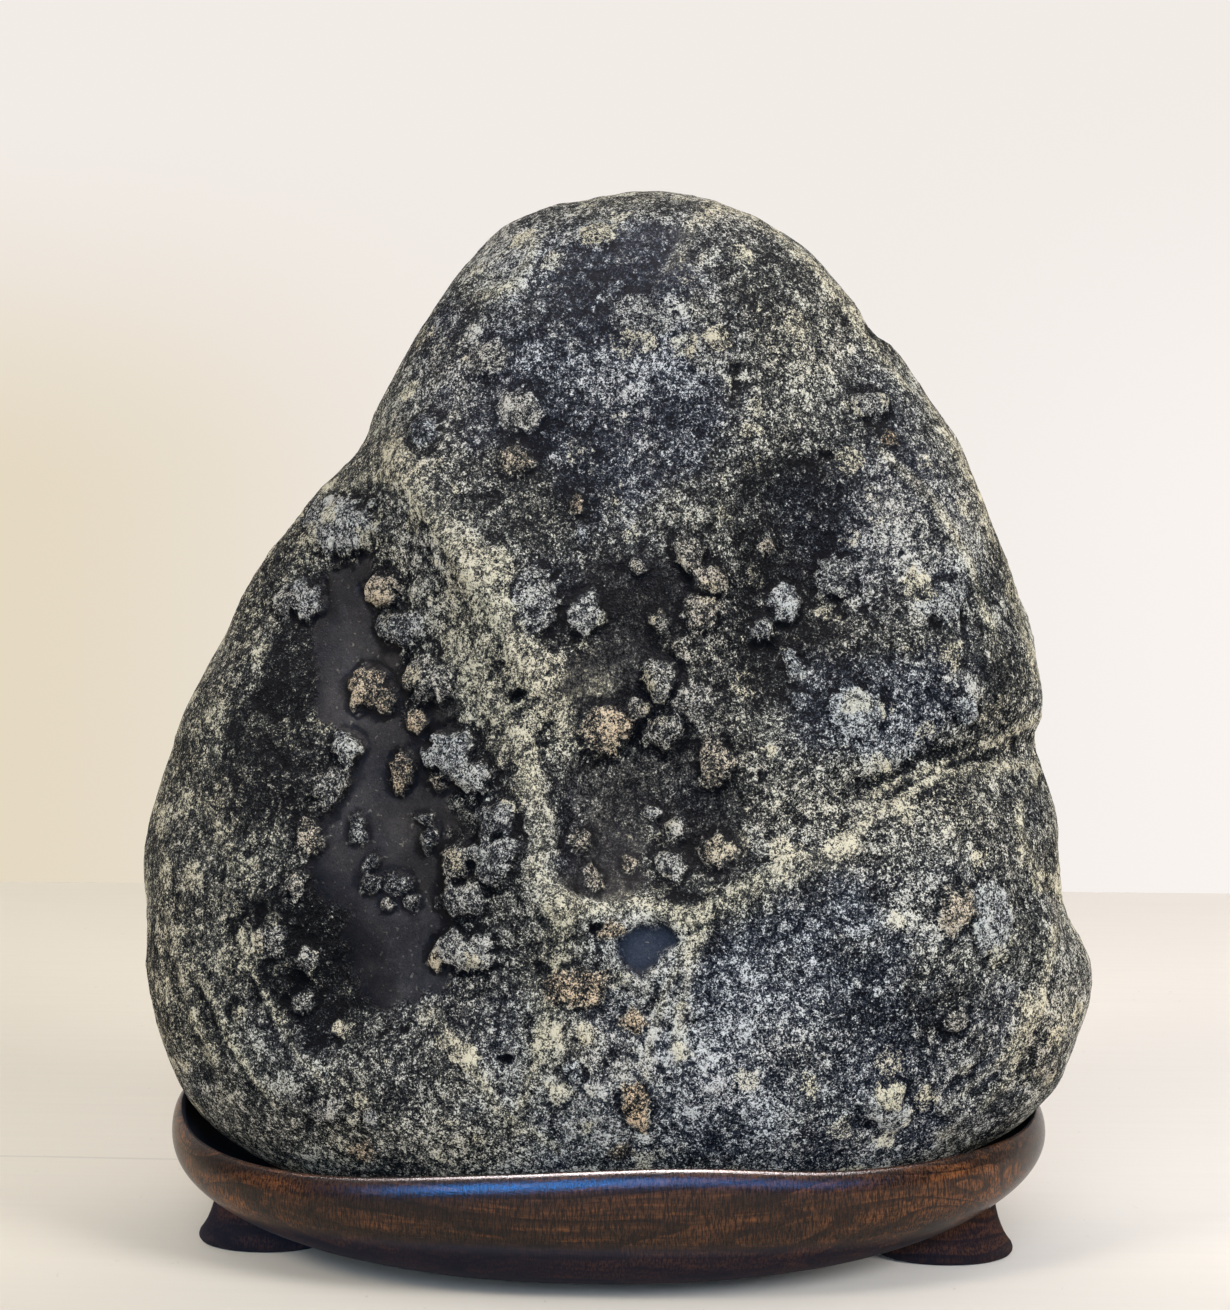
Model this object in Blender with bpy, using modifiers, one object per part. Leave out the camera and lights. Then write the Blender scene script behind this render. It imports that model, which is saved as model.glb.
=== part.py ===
"""A water-worn scholar's rock standing in its carved wooden stand.

Blender 4.5, metres, +Z up. The stone's broad face looks along -Y. The stand
rests on z = 0, and the middle of the whole piece is over the origin.

The stone is one solid and the stand, with its four feet carved from the same
block, is another. The stone lies loose in the stand's hollow.
"""
import math
from bisect import bisect_right

import bmesh
import bpy
from mathutils import Vector

MM = 0.001

# ---------------------------------------------------------------- the stone
STONE_SUBDIVISIONS = 5        # of the sphere that the stone is worked from
STONE_CENTRE_HEIGHT = 85      # mm; the outline's radii are measured from here
STONE_DEPTH_LOW = 49.0        # mm; half thickness at the foot
STONE_DEPTH_HIGH = 35.0       # mm; half thickness near the summit
DEPTH_CHANGE = (35, 180)      # mm; heights between which the stone thins
BACK_DEPTH_SHARE = 0.965      # the back is a little flatter than the front
EDGE_FULLNESS = 2.5           # exponent of the section: 2 is an ellipse
FOOT_FULLNESS = 4.8           # the foot is squarer, to sit down in the stand
FOOT_DIRECTIONS = (0.55, 1.0)  # sine of the downward direction where that begins and is whole

# Outline seen from the front, in mm (x, height), anticlockwise from the right
# end of the stand's rim. The lowest points are inside the stand.
STONE_OUTLINE = [
    (77.8, 23), (82, 28), (85.4, 35), (88.4, 42), (89.6, 49), (88.7, 56), (84.5, 62),
    (83, 69), (83.5, 77), (81.6, 85), (79.5, 91), (80.2, 99), (79.8, 106), (78, 115),
    (74.7, 122), (71.8, 130), (69, 138), (65.2, 147), (60, 155.5), (53.5, 164),
    (49.3, 169.5), (45, 173), (42, 178), (37.7, 183.8), (31.4, 188.4), (24, 192.3),
    (14.5, 194.9), (4, 195.6), (-8.5, 194.3), (-18, 190.8), (-26, 184.5),
    (-31.6, 177.5), (-36.6, 170.5), (-41, 162), (-45.2, 153.5), (-50.2, 146),
    (-57.8, 137), (-65.2, 128), (-73, 114.5), (-80, 101.5), (-84.8, 88.5), (-88.2, 76.5),
    (-89.5, 68), (-88.2, 60), (-88, 50), (-86.4, 39), (-84.2, 31.5), (-80.5, 24),
    (-74, 19), (-62, 14), (-42, 9.6), (-10, 6.8), (15, 7.2), (42, 10.6),
    (61, 16), (71, 20),
]

# Relief of the broad faces. A hollow or swelling is (x, height, half width,
# half height, rise), and a groove or ridge is (path, half width, rise), in mm.
FRONT_SWELLINGS = {
    "hollow in the middle": (5, 95, 19, 21, -6.5),
    "floor of the lower hollow": (4, 78, 15, 12, -3.0),
    "shaded hollow": (34, 124, 15, 20, -5.5),
    "polished hollow, upper": (-46, 115, 13, 20, -5.0),
    "polished hollow, lower": (-36, 76, 15, 26, -5.5),
    "dark hollow at the left": (-44, 52, 15, 12, -2.5),
    "lower left lobe": (-62, 42, 26, 24, 2.5),
    "lower right lobe": (60, 58, 26, 26, 3.0),
    "middle of the foot": (10, 40, 30, 16, 1.6),
    "upper right lobe": (56, 125, 16, 26, 2.4),
    "upper left swelling": (-14, 162, 20, 22, 1.8),
    "summit": (14, 182, 22, 12, 1.2),
    "left shoulder": (-52, 134, 12, 9, 2.2),
}
FRONT_GROOVES = {
    "spine": ([(-35, 146), (-21, 127), (-13, 112), (-11, 100), (-12, 86), (-12, 74)], 9, 4.2),
    "sill": ([(-12, 76), (-6, 68), (6, 67), (18, 67), (32, 74), (44, 80)], 6, 2.6),
    "nodule ridge": ([(16, 134), (18, 120), (14, 107), (20, 96)], 8, 3.2),
    "crease over the right lobe": ([(38, 82), (48, 89), (62, 94), (80, 92)], 6, -3.2),
}
BACK_SWELLINGS = {
    "broad back hollow": (-18, 112, 30, 36, -5.5),
    "back shoulder": (40, 128, 24, 30, 3.0),
    "low back lobe": (-50, 52, 28, 24, 3.0),
    "right back hollow": (52, 78, 20, 22, -4.0),
    "middle back lobe": (8, 62, 26, 22, 2.6),
    "high back hollow": (2, 168, 18, 14, -2.4),
}
BACK_GROOVES = {
    "back crease": ([(70, 112), (40, 96), (18, 88), (-12, 84), (-44, 88), (-76, 80)], 7, -3.2),
    "back spine": ([(-4, 184), (10, 158), (14, 134), (24, 108)], 9, 3.0),
}
OUTLINE_SOFTENING = 24        # degrees; the outline is evened out over this much ...
OUTLINE_SAMPLES = 7           # ... as the mean of this many directions ...
OUTLINE_REACH = (0.55, 0.97)  # ... and regains its own bends between these shares of it
RELIEF_FADE = (27, 38)        # mm; below these heights the foot stays smooth
RELIEF_FACING = (0.12, 0.55)  # the relief dies out towards the outline

# ---------------------------------------------------------------- the stand
STAND_CENTRE_X = -1.5         # mm
STAND_HALF_WIDTH = 83.2
STAND_HALF_DEPTH = 51.5
PLAN_FULLNESS = 2.35          # exponent of the stand's oval: 2 is an ellipse
STAND_SEGMENTS = 64
BELLY_CLEARANCE = 1.6         # under the lowest point of the belly
BELLY_LOW_X = -3.0            # the belly is lowest here ...
BELLY_END_RISE = 7.6          # ... and rises by this much to its ends
BELLY_SQUARENESS = (7.0, 19.0)  # of the belly's side, at its ends and at its front
SEAT_SQUARENESS = 8.0
CORNER_ROUNDNESS = 2.2
FLOOR_THICKNESS = 4.5
# Rim section from the outside to the seat: (inset, height against the rim)
RIM_SECTION = [(0.0, -4.6), (0.25, -2.6), (0.85, -0.9), (1.6, 0.0), (2.3, -0.2), (2.7, -1.1)]
SEAT_SHARES = (0.25, 0.5, 0.7, 0.83, 0.91, 0.96, 0.99)
BELLY_SHARES = (0.997, 0.985, 0.965, 0.935, 0.89, 0.82, 0.7, 0.5, 0.25)
# Height of the rim round the stand: (direction in degrees from +X, height)
RIM_HEIGHTS = [
    (0, 25.2), (30, 23.4), (55, 22.6), (90, 23.8), (125, 22.2), (155, 23.0),
    (180, 25.8), (205, 21.8), (235, 20.4), (262, 23.0), (278, 24.6), (300, 23.2), (335, 24.2),
]

# The four feet: oval, flared and set in under the belly's ends
FOOT_POSITIONS = {"left": -64.5, "right": 61.5}
FOOT_Y = 15.2
FOOT_HALF_WIDTH = 13.0        # along X, at the sole
FOOT_HALF_DEPTH = 9.2         # along Y, at the sole
FOOT_SEGMENTS = 28
# Turned section of a foot: (share of the half width, height)
FOOT_SECTION = [
    (0.0, 12.0), (0.72, 12.0), (0.76, 8.5), (0.83, 5.4), (0.93, 2.9),
    (1.0, 1.3), (0.975, 0.45), (0.91, 0.0), (0.0, 0.0),
]


def smoothstep(low, high, value):
    t = min(max((value - low) / (high - low), 0.0), 1.0)
    return t * t * (3.0 - 2.0 * t)


def periodic_spline(samples):
    """Catmull-Rom curve through (angle, value) samples, repeating every turn."""
    turn = 2.0 * math.pi
    ordered = sorted((angle % turn, value) for angle, value in samples)
    before = [(angle - turn, value) for angle, value in ordered[-2:]]
    after = [(angle + turn, value) for angle, value in ordered[:2]]
    knots = before + ordered + after
    angles = [knot[0] for knot in knots]

    def slope(i):
        return (knots[i + 1][1] - knots[i - 1][1]) / (angles[i + 1] - angles[i - 1])

    def value_at(angle):
        angle %= turn
        i = bisect_right(angles, angle) - 1
        width = angles[i + 1] - angles[i]
        t = (angle - angles[i]) / width
        a, b = knots[i][1], knots[i + 1][1]
        return (
            a * (2 * t**3 - 3 * t**2 + 1)
            + b * (3 * t**2 - 2 * t**3)
            + slope(i) * width * (t**3 - 2 * t**2 + t)
            + slope(i + 1) * width * (t**3 - t**2)
        )

    return value_at


outline_radius = periodic_spline(
    [
        (math.atan2(z - STONE_CENTRE_HEIGHT, x), math.hypot(x, z - STONE_CENTRE_HEIGHT))
        for x, z in STONE_OUTLINE
    ]
)


def plain_radius(angle):
    """The outline's radius, evened out so that its small bends stay near the edge."""
    spacing = 2.0 * math.radians(OUTLINE_SOFTENING) / (OUTLINE_SAMPLES - 1)
    first = angle - math.radians(OUTLINE_SOFTENING)
    radii = [outline_radius(first + step * spacing) for step in range(OUTLINE_SAMPLES)]
    return sum(radii) / OUTLINE_SAMPLES


rim_height = periodic_spline([(math.radians(angle), z) for angle, z in RIM_HEIGHTS])


def new_object(name, mesh, collection, material):
    """Put a mesh in the scene as one smooth-shaded part."""
    part = bpy.data.objects.new(name, mesh)
    collection.objects.link(part)
    mesh.materials.append(material)
    mesh.shade_smooth()
    return part


def principled(name, colour, roughness):
    material = bpy.data.materials.new(name)
    material.use_nodes = True
    shader = material.node_tree.nodes["Principled BSDF"]
    shader.inputs["Base Color"].default_value = (*colour, 1.0)
    shader.inputs["Roughness"].default_value = roughness
    shader.inputs["Metallic"].default_value = 0.0
    return material


# ---------------------------------------------------------------- the stone
def stone_surface(direction):
    """The plain stone, before its relief, in one direction from its centre, in mm."""
    along = math.hypot(direction.x, direction.z)
    across = abs(direction.y)
    angle = math.atan2(direction.z, direction.x)
    downward = smoothstep(*FOOT_DIRECTIONS, -math.sin(angle))
    fullness = EDGE_FULLNESS + (FOOT_FULLNESS - EDGE_FULLNESS) * downward
    reach = (along**fullness + across**fullness) ** (-1.0 / fullness)
    evened = plain_radius(angle)
    own = smoothstep(*OUTLINE_REACH, along * reach)
    in_plane = along * reach * (evened + (outline_radius(angle) - evened) * own)
    x = in_plane * math.cos(angle)
    z = STONE_CENTRE_HEIGHT + in_plane * math.sin(angle)
    thinning = smoothstep(*DEPTH_CHANGE, z)
    depth = STONE_DEPTH_LOW + (STONE_DEPTH_HIGH - STONE_DEPTH_LOW) * thinning
    if direction.y > 0.0:
        depth *= BACK_DEPTH_SHARE
    y = math.copysign(across * reach * depth, direction.y)
    return Vector((x, y, z))


def swelling_rise(x, z, swelling):
    centre_x, centre_z, half_width, half_height, rise = swelling
    distance = ((x - centre_x) / half_width) ** 2 + ((z - centre_z) / half_height) ** 2
    return rise * math.exp(-distance)


def groove_rise(x, z, groove):
    path, half_width, rise = groove
    point = Vector((x, z))
    nearest = math.inf
    for start, end in zip(path, path[1:]):
        a, b = Vector(start), Vector(end)
        share = min(max((point - a).dot(b - a) / (b - a).length_squared, 0.0), 1.0)
        nearest = min(nearest, (point - a.lerp(b, share)).length)
    return rise * math.exp(-((nearest / half_width) ** 2))


def relief(point, facing):
    """Height of the relief over the plain stone at a point, in mm."""
    front = point.y < 0.0
    swellings = FRONT_SWELLINGS if front else BACK_SWELLINGS
    grooves = FRONT_GROOVES if front else BACK_GROOVES
    rise = sum(swelling_rise(point.x, point.z, s) for s in swellings.values())
    rise += sum(groove_rise(point.x, point.z, g) for g in grooves.values())
    return rise * smoothstep(*RELIEF_FADE, point.z) * smoothstep(*RELIEF_FACING, facing)


def make_stone(collection):
    worked = bmesh.new()
    bmesh.ops.create_icosphere(worked, subdivisions=STONE_SUBDIVISIONS, radius=1.0)
    facing = {}
    for vertex in worked.verts:
        direction = vertex.co.normalized()
        facing[vertex] = abs(direction.y)
        vertex.co = stone_surface(direction)
    worked.normal_update()
    raised = {v: v.co + v.normal * relief(v.co, facing[v]) for v in worked.verts}
    for vertex, place in raised.items():
        vertex.co = place * MM
    mesh = bpy.data.meshes.new("stone")
    worked.to_mesh(mesh)
    worked.free()
    speckled = principled("dark_speckled_stone", (0.07, 0.075, 0.08), 0.5)
    return new_object("stone", mesh, collection, speckled)


# ---------------------------------------------------------------- the stand
def oval(angle, half_width, half_depth):
    """Point of the stand's oval plan, in mm."""
    power = 2.0 / PLAN_FULLNESS
    c, s = math.cos(angle), math.sin(angle)
    x = math.copysign(abs(c) ** power, c) * half_width
    y = math.copysign(abs(s) ** power, s) * half_depth
    return STAND_CENTRE_X + x, y


def belly_floor(x):
    """Height of the belly's underside along the stand, in mm."""
    share = (x - BELLY_LOW_X) / STAND_HALF_WIDTH
    return BELLY_CLEARANCE + BELLY_END_RISE * share * share


def corner_drop(share, squareness):
    """0 at the side (share 1) to 1 at the middle, round a soft corner."""
    return (1.0 - share**squareness) ** (1.0 / CORNER_ROUNDNESS)


def stand_point(ring, angle):
    """Point of the stand's bowl: rings run from the seat over the rim to the belly, in mm."""
    rim = rim_height(angle)
    lip_inset, lip_height = RIM_SECTION[-1]
    seat = [0.0, *SEAT_SHARES]
    section = RIM_SECTION[::-1]
    if ring < len(seat):
        share = seat[ring]
        half_width, half_depth = STAND_HALF_WIDTH - lip_inset, STAND_HALF_DEPTH - lip_inset
        x, y = oval(angle, half_width * share, half_depth * share)
        lip = rim + lip_height
        floor = belly_floor(x) + FLOOR_THICKNESS
        return Vector((x, y, lip - (lip - floor) * corner_drop(share, SEAT_SQUARENESS)))
    if ring < len(seat) + len(section):
        inset, height = section[ring - len(seat)]
        x, y = oval(angle, STAND_HALF_WIDTH - inset, STAND_HALF_DEPTH - inset)
        return Vector((x, y, rim + height))
    share = [*BELLY_SHARES, 0.0][ring - len(seat) - len(section)]
    x, y = oval(angle, STAND_HALF_WIDTH * share, STAND_HALF_DEPTH * share)
    widest = rim + RIM_SECTION[0][1]
    at_end, at_front = BELLY_SQUARENESS
    squareness = at_end + (at_front - at_end) * math.sin(angle) ** 2
    return Vector((x, y, widest - (widest - belly_floor(x)) * corner_drop(share, squareness)))


def make_bowl(collection, material):
    """The stand without its feet: a sphere's rings moved to the bowl's section."""
    rings = 1 + len(SEAT_SHARES) + len(RIM_SECTION) + len(BELLY_SHARES)
    bowl = bmesh.new()
    bmesh.ops.create_uvsphere(bowl, u_segments=STAND_SEGMENTS, v_segments=rings, radius=1.0)
    for vertex in bowl.verts:
        from_top = math.acos(min(max(vertex.co.z, -1.0), 1.0))
        ring = round(from_top / math.pi * rings)
        vertex.co = stand_point(ring, math.atan2(vertex.co.y, vertex.co.x)) * MM
    mesh = bpy.data.meshes.new("stand")
    bowl.to_mesh(mesh)
    bowl.free()
    return new_object("stand", mesh, collection, material)


def make_foot(name, x, y, collection, material):
    """One flared foot, turned from its section and pressed to an oval."""
    profile = bpy.data.meshes.new(name)
    points = [(share * FOOT_HALF_WIDTH * MM, 0.0, z * MM) for share, z in FOOT_SECTION]
    profile.from_pydata(points, [(i, i + 1) for i in range(len(points) - 1)], [])
    foot = new_object(name, profile, collection, material)
    turn = foot.modifiers.new("turned", "SCREW")
    turn.steps = turn.render_steps = FOOT_SEGMENTS
    turn.use_merge_vertices = True
    turn.merge_threshold = 0.00001
    bpy.context.view_layer.update()
    evaluated = foot.evaluated_get(bpy.context.evaluated_depsgraph_get())
    solid = bpy.data.meshes.new_from_object(evaluated)
    foot.modifiers.remove(turn)
    foot.data = solid
    bpy.data.meshes.remove(profile)
    for vertex in solid.vertices:
        vertex.co.y *= FOOT_HALF_DEPTH / FOOT_HALF_WIDTH
    foot.location = (x * MM, y * MM, 0.0)
    foot.display_type = "WIRE"
    foot.hide_render = True
    return foot


def make_stand(collection, cutters):
    wood = principled("dark_polished_wood", (0.07, 0.035, 0.02), 0.35)
    stand = make_bowl(collection, wood)
    for side, x in FOOT_POSITIONS.items():
        for row, y in (("front", -FOOT_Y), ("back", FOOT_Y)):
            foot = make_foot(f"foot_{side}_{row}", x, y, cutters, wood)
            join = stand.modifiers.new(foot.name, "BOOLEAN")
            join.operation = "UNION"
            join.object = foot
    return stand


def main():
    for old in list(bpy.data.objects):
        bpy.data.objects.remove(old, do_unlink=True)
    parts = bpy.data.collections.new("scholars_rock")
    cutters = bpy.data.collections.new("stand_feet_joined")
    for collection in (parts, cutters):
        bpy.context.scene.collection.children.link(collection)
    make_stone(parts)
    make_stand(parts, cutters)


main()
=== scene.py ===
# %% [markdown]
# # A scholar's rock on its carved stand
#
# The object is a dark, water-worn stone shaped like a small peak. It stands loose in a
# bowl-shaped wooden stand with four short feet. The construction model gives the real sizes
# and places of both pieces, and this lesson makes their finished surfaces: the stone's
# hollows, knobs and crystal speckle, and the polished grain of the wood.

# %% Load the construction model
import math
from itertools import product

import bmesh
import bpy
import numpy as np
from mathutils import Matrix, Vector


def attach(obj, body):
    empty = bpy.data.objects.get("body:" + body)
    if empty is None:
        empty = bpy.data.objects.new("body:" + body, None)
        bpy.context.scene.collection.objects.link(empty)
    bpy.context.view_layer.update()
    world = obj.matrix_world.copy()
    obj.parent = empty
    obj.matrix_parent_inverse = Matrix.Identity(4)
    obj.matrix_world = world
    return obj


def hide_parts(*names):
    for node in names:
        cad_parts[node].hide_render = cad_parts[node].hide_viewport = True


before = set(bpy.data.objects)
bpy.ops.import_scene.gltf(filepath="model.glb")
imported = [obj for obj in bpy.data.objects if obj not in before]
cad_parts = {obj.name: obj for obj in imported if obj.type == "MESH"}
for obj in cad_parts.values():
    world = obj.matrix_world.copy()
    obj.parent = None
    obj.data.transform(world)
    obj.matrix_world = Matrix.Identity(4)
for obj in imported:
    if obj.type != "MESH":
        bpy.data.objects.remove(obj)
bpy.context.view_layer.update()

MM = 0.001

# %% [markdown]
# ## The camera
#
# A small desk object is looked at from close by, a little above the middle of its height.
# Perspective is strong at this distance, so the distance matters as much as the lens: a longer
# lens from further away would hide the inside of the stand's rim. The camera is placed on a
# circle round the object and tilted slightly down.

# %% Camera
PICTURE_WIDTH, PICTURE_HEIGHT = 1230, 1310
CAMERA_DISTANCE = 0.450
CAMERA_HEIGHT = 0.1386
CAMERA_AZIMUTH = math.radians(3.4)
CAMERA_TILT = math.radians(3.72)
FOCAL_PIXELS = 2373
SENSOR_HEIGHT = 24.0


def link_to_scene(thing):
    bpy.context.scene.collection.objects.link(thing)
    return thing


camera_data = bpy.data.cameras.new("desk_camera")
camera_data.sensor_fit = "VERTICAL"
camera_data.sensor_height = SENSOR_HEIGHT
camera_data.lens = SENSOR_HEIGHT * FOCAL_PIXELS / PICTURE_HEIGHT
camera = link_to_scene(bpy.data.objects.new("desk_camera", camera_data))
camera.location = (
    CAMERA_DISTANCE * math.sin(CAMERA_AZIMUTH),
    -CAMERA_DISTANCE * math.cos(CAMERA_AZIMUTH),
    CAMERA_HEIGHT,
)
camera.rotation_euler = (math.pi / 2 - CAMERA_TILT, 0.0, CAMERA_AZIMUTH)
bpy.context.scene.camera = camera
bpy.context.scene.view_settings.view_transform = "Standard"
bpy.context.view_layer.update()
print("lens in mm:", round(camera_data.lens, 1))

# %% [markdown]
# ## The table
#
# The piece is shown on a pale table with rounded corners. The table ends behind the object and
# the pale world takes over, so nothing stands in the way when the piece is seen from behind.

# %% Table top
TABLE_HALF_SIZE = 0.394
TABLE_CORNER = 0.05
CORNER_SEGMENTS = 8


def as_object(name, work):
    """A new object in the scene from a bmesh, which is then let go."""
    mesh = bpy.data.meshes.new(name)
    work.to_mesh(mesh)
    work.free()
    return link_to_scene(bpy.data.objects.new(name, mesh))


top = bmesh.new()
bmesh.ops.create_grid(top, x_segments=1, y_segments=1, size=TABLE_HALF_SIZE)
corners = list(top.verts)
bmesh.ops.bevel(top, geom=corners, offset=TABLE_CORNER, segments=CORNER_SEGMENTS, affect="VERTICES")
table = as_object("table_top", top)
print("table:", 2 * TABLE_HALF_SIZE, "m across")

# %% [markdown]
# ## Lamps
#
# Three lamps light the piece: a broad pale sky ahead of it, a window on the right and a warm lamp
# on the upper left. Polished wood also shows what stands round it, and that is easier to place
# with lamps of its own: three more are seen in the polish and light nothing. They draw the blue
# of the sky and the white streak of the ceiling along the rim.

# %% Six lamps
STONE_MIDDLE = (0.0, 0.0, 0.09)
RIM_FRONT = (0.0, -0.05, 0.024)
PALE_BLUE = (0.62, 0.78, 1.0)
DAY_WHITE = (1.0, 0.98, 0.95)
WARM_WHITE = (1.0, 0.91, 0.77)
SKY_BLUE = (0.06, 0.34, 1.0)
ROSE_WHITE = (1.0, 0.90, 0.90)
LIGHTS = {  # place, what it faces, width and height in metres, watts and colour
    "sky_ahead": ((-0.10, -1.10, 0.42), STONE_MIDDLE, (0.8, 0.5), 7.0, PALE_BLUE),
    "window_right": ((0.85, -0.50, 0.52), STONE_MIDDLE, (0.4, 0.4), 9.5, DAY_WHITE),
    "lamp_left": ((-0.72, -0.60, 0.72), STONE_MIDDLE, (0.3, 0.3), 5.0, WARM_WHITE),
}
REFLECTIONS = {
    "sky_left": ((-0.31, -1.10, 0.38), RIM_FRONT, (0.30, 0.28), 19.0, SKY_BLUE),
    "sky_right": ((0.42, -1.06, 0.38), RIM_FRONT, (0.08, 0.28), 5.5, SKY_BLUE),
    "ceiling": ((-0.02, -0.24, 0.80), RIM_FRONT, (0.6, 0.24), 56.0, ROSE_WHITE),
}


def make_lamp(name, place, aim, size, power, colour):
    lamp_data = bpy.data.lights.new(name, "AREA")
    lamp_data.shape = "RECTANGLE"
    lamp_data.size, lamp_data.size_y = size
    lamp_data.energy = power
    lamp_data.color = colour
    lamp = link_to_scene(bpy.data.objects.new(name, lamp_data))
    lamp.visible_diffuse = name in LIGHTS
    lamp.visible_glossy = name in REFLECTIONS
    lamp.location = place
    lamp.rotation_euler = (Vector(aim) - Vector(place)).to_track_quat("-Z", "Y").to_euler()


for lamp_name, lamp_settings in (LIGHTS | REFLECTIONS).items():
    make_lamp(lamp_name, *lamp_settings)
print(len(LIGHTS), "lights and", len(REFLECTIONS), "reflections")

# %% [markdown]
# ## Writing shader maths as Python
#
# Node trees are long to write out by hand. The class below wraps one output socket and lets
# Python's own operators add the Math nodes, so `1 - mask` or `grain * 0.4 + patch` reads like
# the formula it is. Any other node comes from `Finish.node`.


# %% Sockets that take part in arithmetic
class Wire:
    """One output socket of a node tree, usable in arithmetic."""

    def __init__(self, finish, socket):
        self.finish = finish
        self.socket = socket

    def _math(self, operation, *values):
        return self.finish.node("ShaderNodeMath", {"operation": operation}, dict(enumerate(values)))

    def __add__(self, other):
        return self._math("ADD", self, other)

    def __sub__(self, other):
        return self._math("SUBTRACT", self, other)

    def __rsub__(self, other):
        return self._math("SUBTRACT", other, self)

    def __mul__(self, other):
        return self._math("MULTIPLY", self, other)

    __radd__ = __add__
    __rmul__ = __mul__

    def exponent(self):
        return self._math("EXPONENT", self)

    def fraction(self):
        return self._math("FRACT", self)

    def maximum(self, other):
        return self._math("MAXIMUM", self, other)

    def minimum(self, other):
        return self._math("MINIMUM", self, other)

    def band(self, low, high):
        """0 at `low`, 1 at `high`, with a soft turn at both ends."""
        limits = {"Value": self, "From Min": low, "From Max": high}
        return self.finish.node("ShaderNodeMapRange", {"interpolation_type": "SMOOTHSTEP"}, limits)

    def also(self, output):
        """Another output of the same node."""
        return Wire(self.finish, self.socket.node.outputs[output])


# %% [markdown]
# A finish is a material together with the nodes that make it. Its helpers work in millimetres
# on the piece itself, so a pattern keeps its size and stays where it is when the piece moves.


# %% Finishes and surroundings
class Finish:
    """A material and the nodes that make it."""

    def __init__(self, name):
        self.material = bpy.data.materials.new(name)
        self.material.use_nodes = True
        self.tree = self.material.node_tree
        self.shader = self.tree.nodes["Principled BSDF"]

    def node(self, kind, settings=None, sockets=None, output=0):
        """Add a node: its settings are set first, then its sockets are given values or links."""
        node = self.tree.nodes.new(kind)
        for name, value in (settings or {}).items():
            setattr(node, name, value)
        for name, value in (sockets or {}).items():
            self._feed(node.inputs[name], value)
        return Wire(self, node.outputs[output])

    def _feed(self, socket, value):
        if isinstance(value, Wire):
            self.tree.links.new(value.socket, socket)
        elif socket.type == "RGBA":
            socket.default_value = (*value, 1.0)
        else:
            socket.default_value = value

    def _vector(self, operation, sockets, output=0):
        return self.node("ShaderNodeVectorMath", {"operation": operation}, sockets, output)

    def stretch(self, vector, factors):
        return self._vector("MULTIPLY", {0: vector, 1: factors})

    def shift(self, vector, offset):
        return self._vector("ADD", {0: vector, 1: offset})

    def scale(self, vector, factor):
        return self._vector("SCALE", {0: vector, "Scale": factor})

    def along(self, vector, direction):
        return self._vector("DOT_PRODUCT", {0: vector, 1: direction}, "Value")

    def axes(self, vector, names):
        """The parts of a vector that are named, such as "XZ"."""
        return [self.node("ShaderNodeSeparateXYZ", None, {0: vector}, axis) for axis in names]

    def place(self):
        """Position on the piece, in millimetres."""
        coordinates = self.node("ShaderNodeTexCoord", output="Object")
        return self.stretch(coordinates, (1 / MM, 1 / MM, 1 / MM))

    def noise(self, vector, scale, detail=2.0, roughness=0.5, distortion=0.0, colour=False):
        """Random swirls; the distortion curls them, and `colour` gives three at once."""
        sockets = {"Vector": vector, "Scale": scale, "Detail": detail, "Roughness": roughness}
        sockets["Distortion"] = distortion
        return self.node("ShaderNodeTexNoise", None, sockets, "Color" if colour else 0)

    def streaks(self, vector, scales, detail, roughness=0.5, distortion=0.0):
        """Noise with its own scale along each axis."""
        return self.noise(self.stretch(vector, scales), 1.0, detail, roughness, distortion)

    def ruffle(self, vector, amount, scale, detail, roughness):
        """Positions pushed about, so that what is drawn from them gets a ragged edge."""
        push = self.noise(vector, scale, detail, roughness, colour=True)
        return self.shift(vector, self.scale(push, amount))

    def blend(self, share, first, second):
        """Colour `first` where share is 0 and `second` where it is 1."""
        sockets = {0: share, 6: first, 7: second}
        return self.node("ShaderNodeMix", {"data_type": "RGBA"}, sockets, output=2)

    def bump(self, height, strength, distance):
        sockets = {"Strength": strength, "Distance": distance, "Height": height}
        return self.node("ShaderNodeBump", None, sockets)

    def painted(self, name):
        """A number stored on the mesh's points."""
        return self.node("ShaderNodeAttribute", {"attribute_name": name}, output="Fac")

    def set_surface(self, **sockets):
        """Feed the shader: `base_color` is its socket Base Color."""
        for key, value in sockets.items():
            name = key.replace("_", " ").title().replace("Ior", "IOR")
            self._feed(self.shader.inputs[name], value)

    def put_on(self, thing):
        thing.data.materials.clear()
        thing.data.materials.append(self.material)


class Surroundings(Finish):
    """The world's nodes, written with the same helpers."""

    def __init__(self, name):
        self.world = bpy.data.worlds.new(name)
        self.world.use_nodes = True
        self.tree = self.world.node_tree
        self.shader = self.tree.nodes["Background"]


print("shader helpers ready")

# %% [markdown]
# ## The room
#
# The camera sees a pale wall with a warm painted shadow of the piece low on the left and painted
# brighter light low on the right. From the other sides the piece is lit and mirrored by a dim room
# under a paler ceiling, which keeps the shadows deep and the polish dark. Whether the camera sees
# the world directly is one output of the Light Path node.

# %% World
WALL_COLOUR = (0.89, 0.84, 0.80)
WALL_SHADOW_COLOUR = (0.78, 0.69, 0.54)
WALL_LIT_COLOUR = (0.95, 0.905, 0.875)
ROOM_COLOUR = (0.17, 0.17, 0.18)
CEILING_COLOUR = (0.62, 0.63, 0.66)

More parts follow.
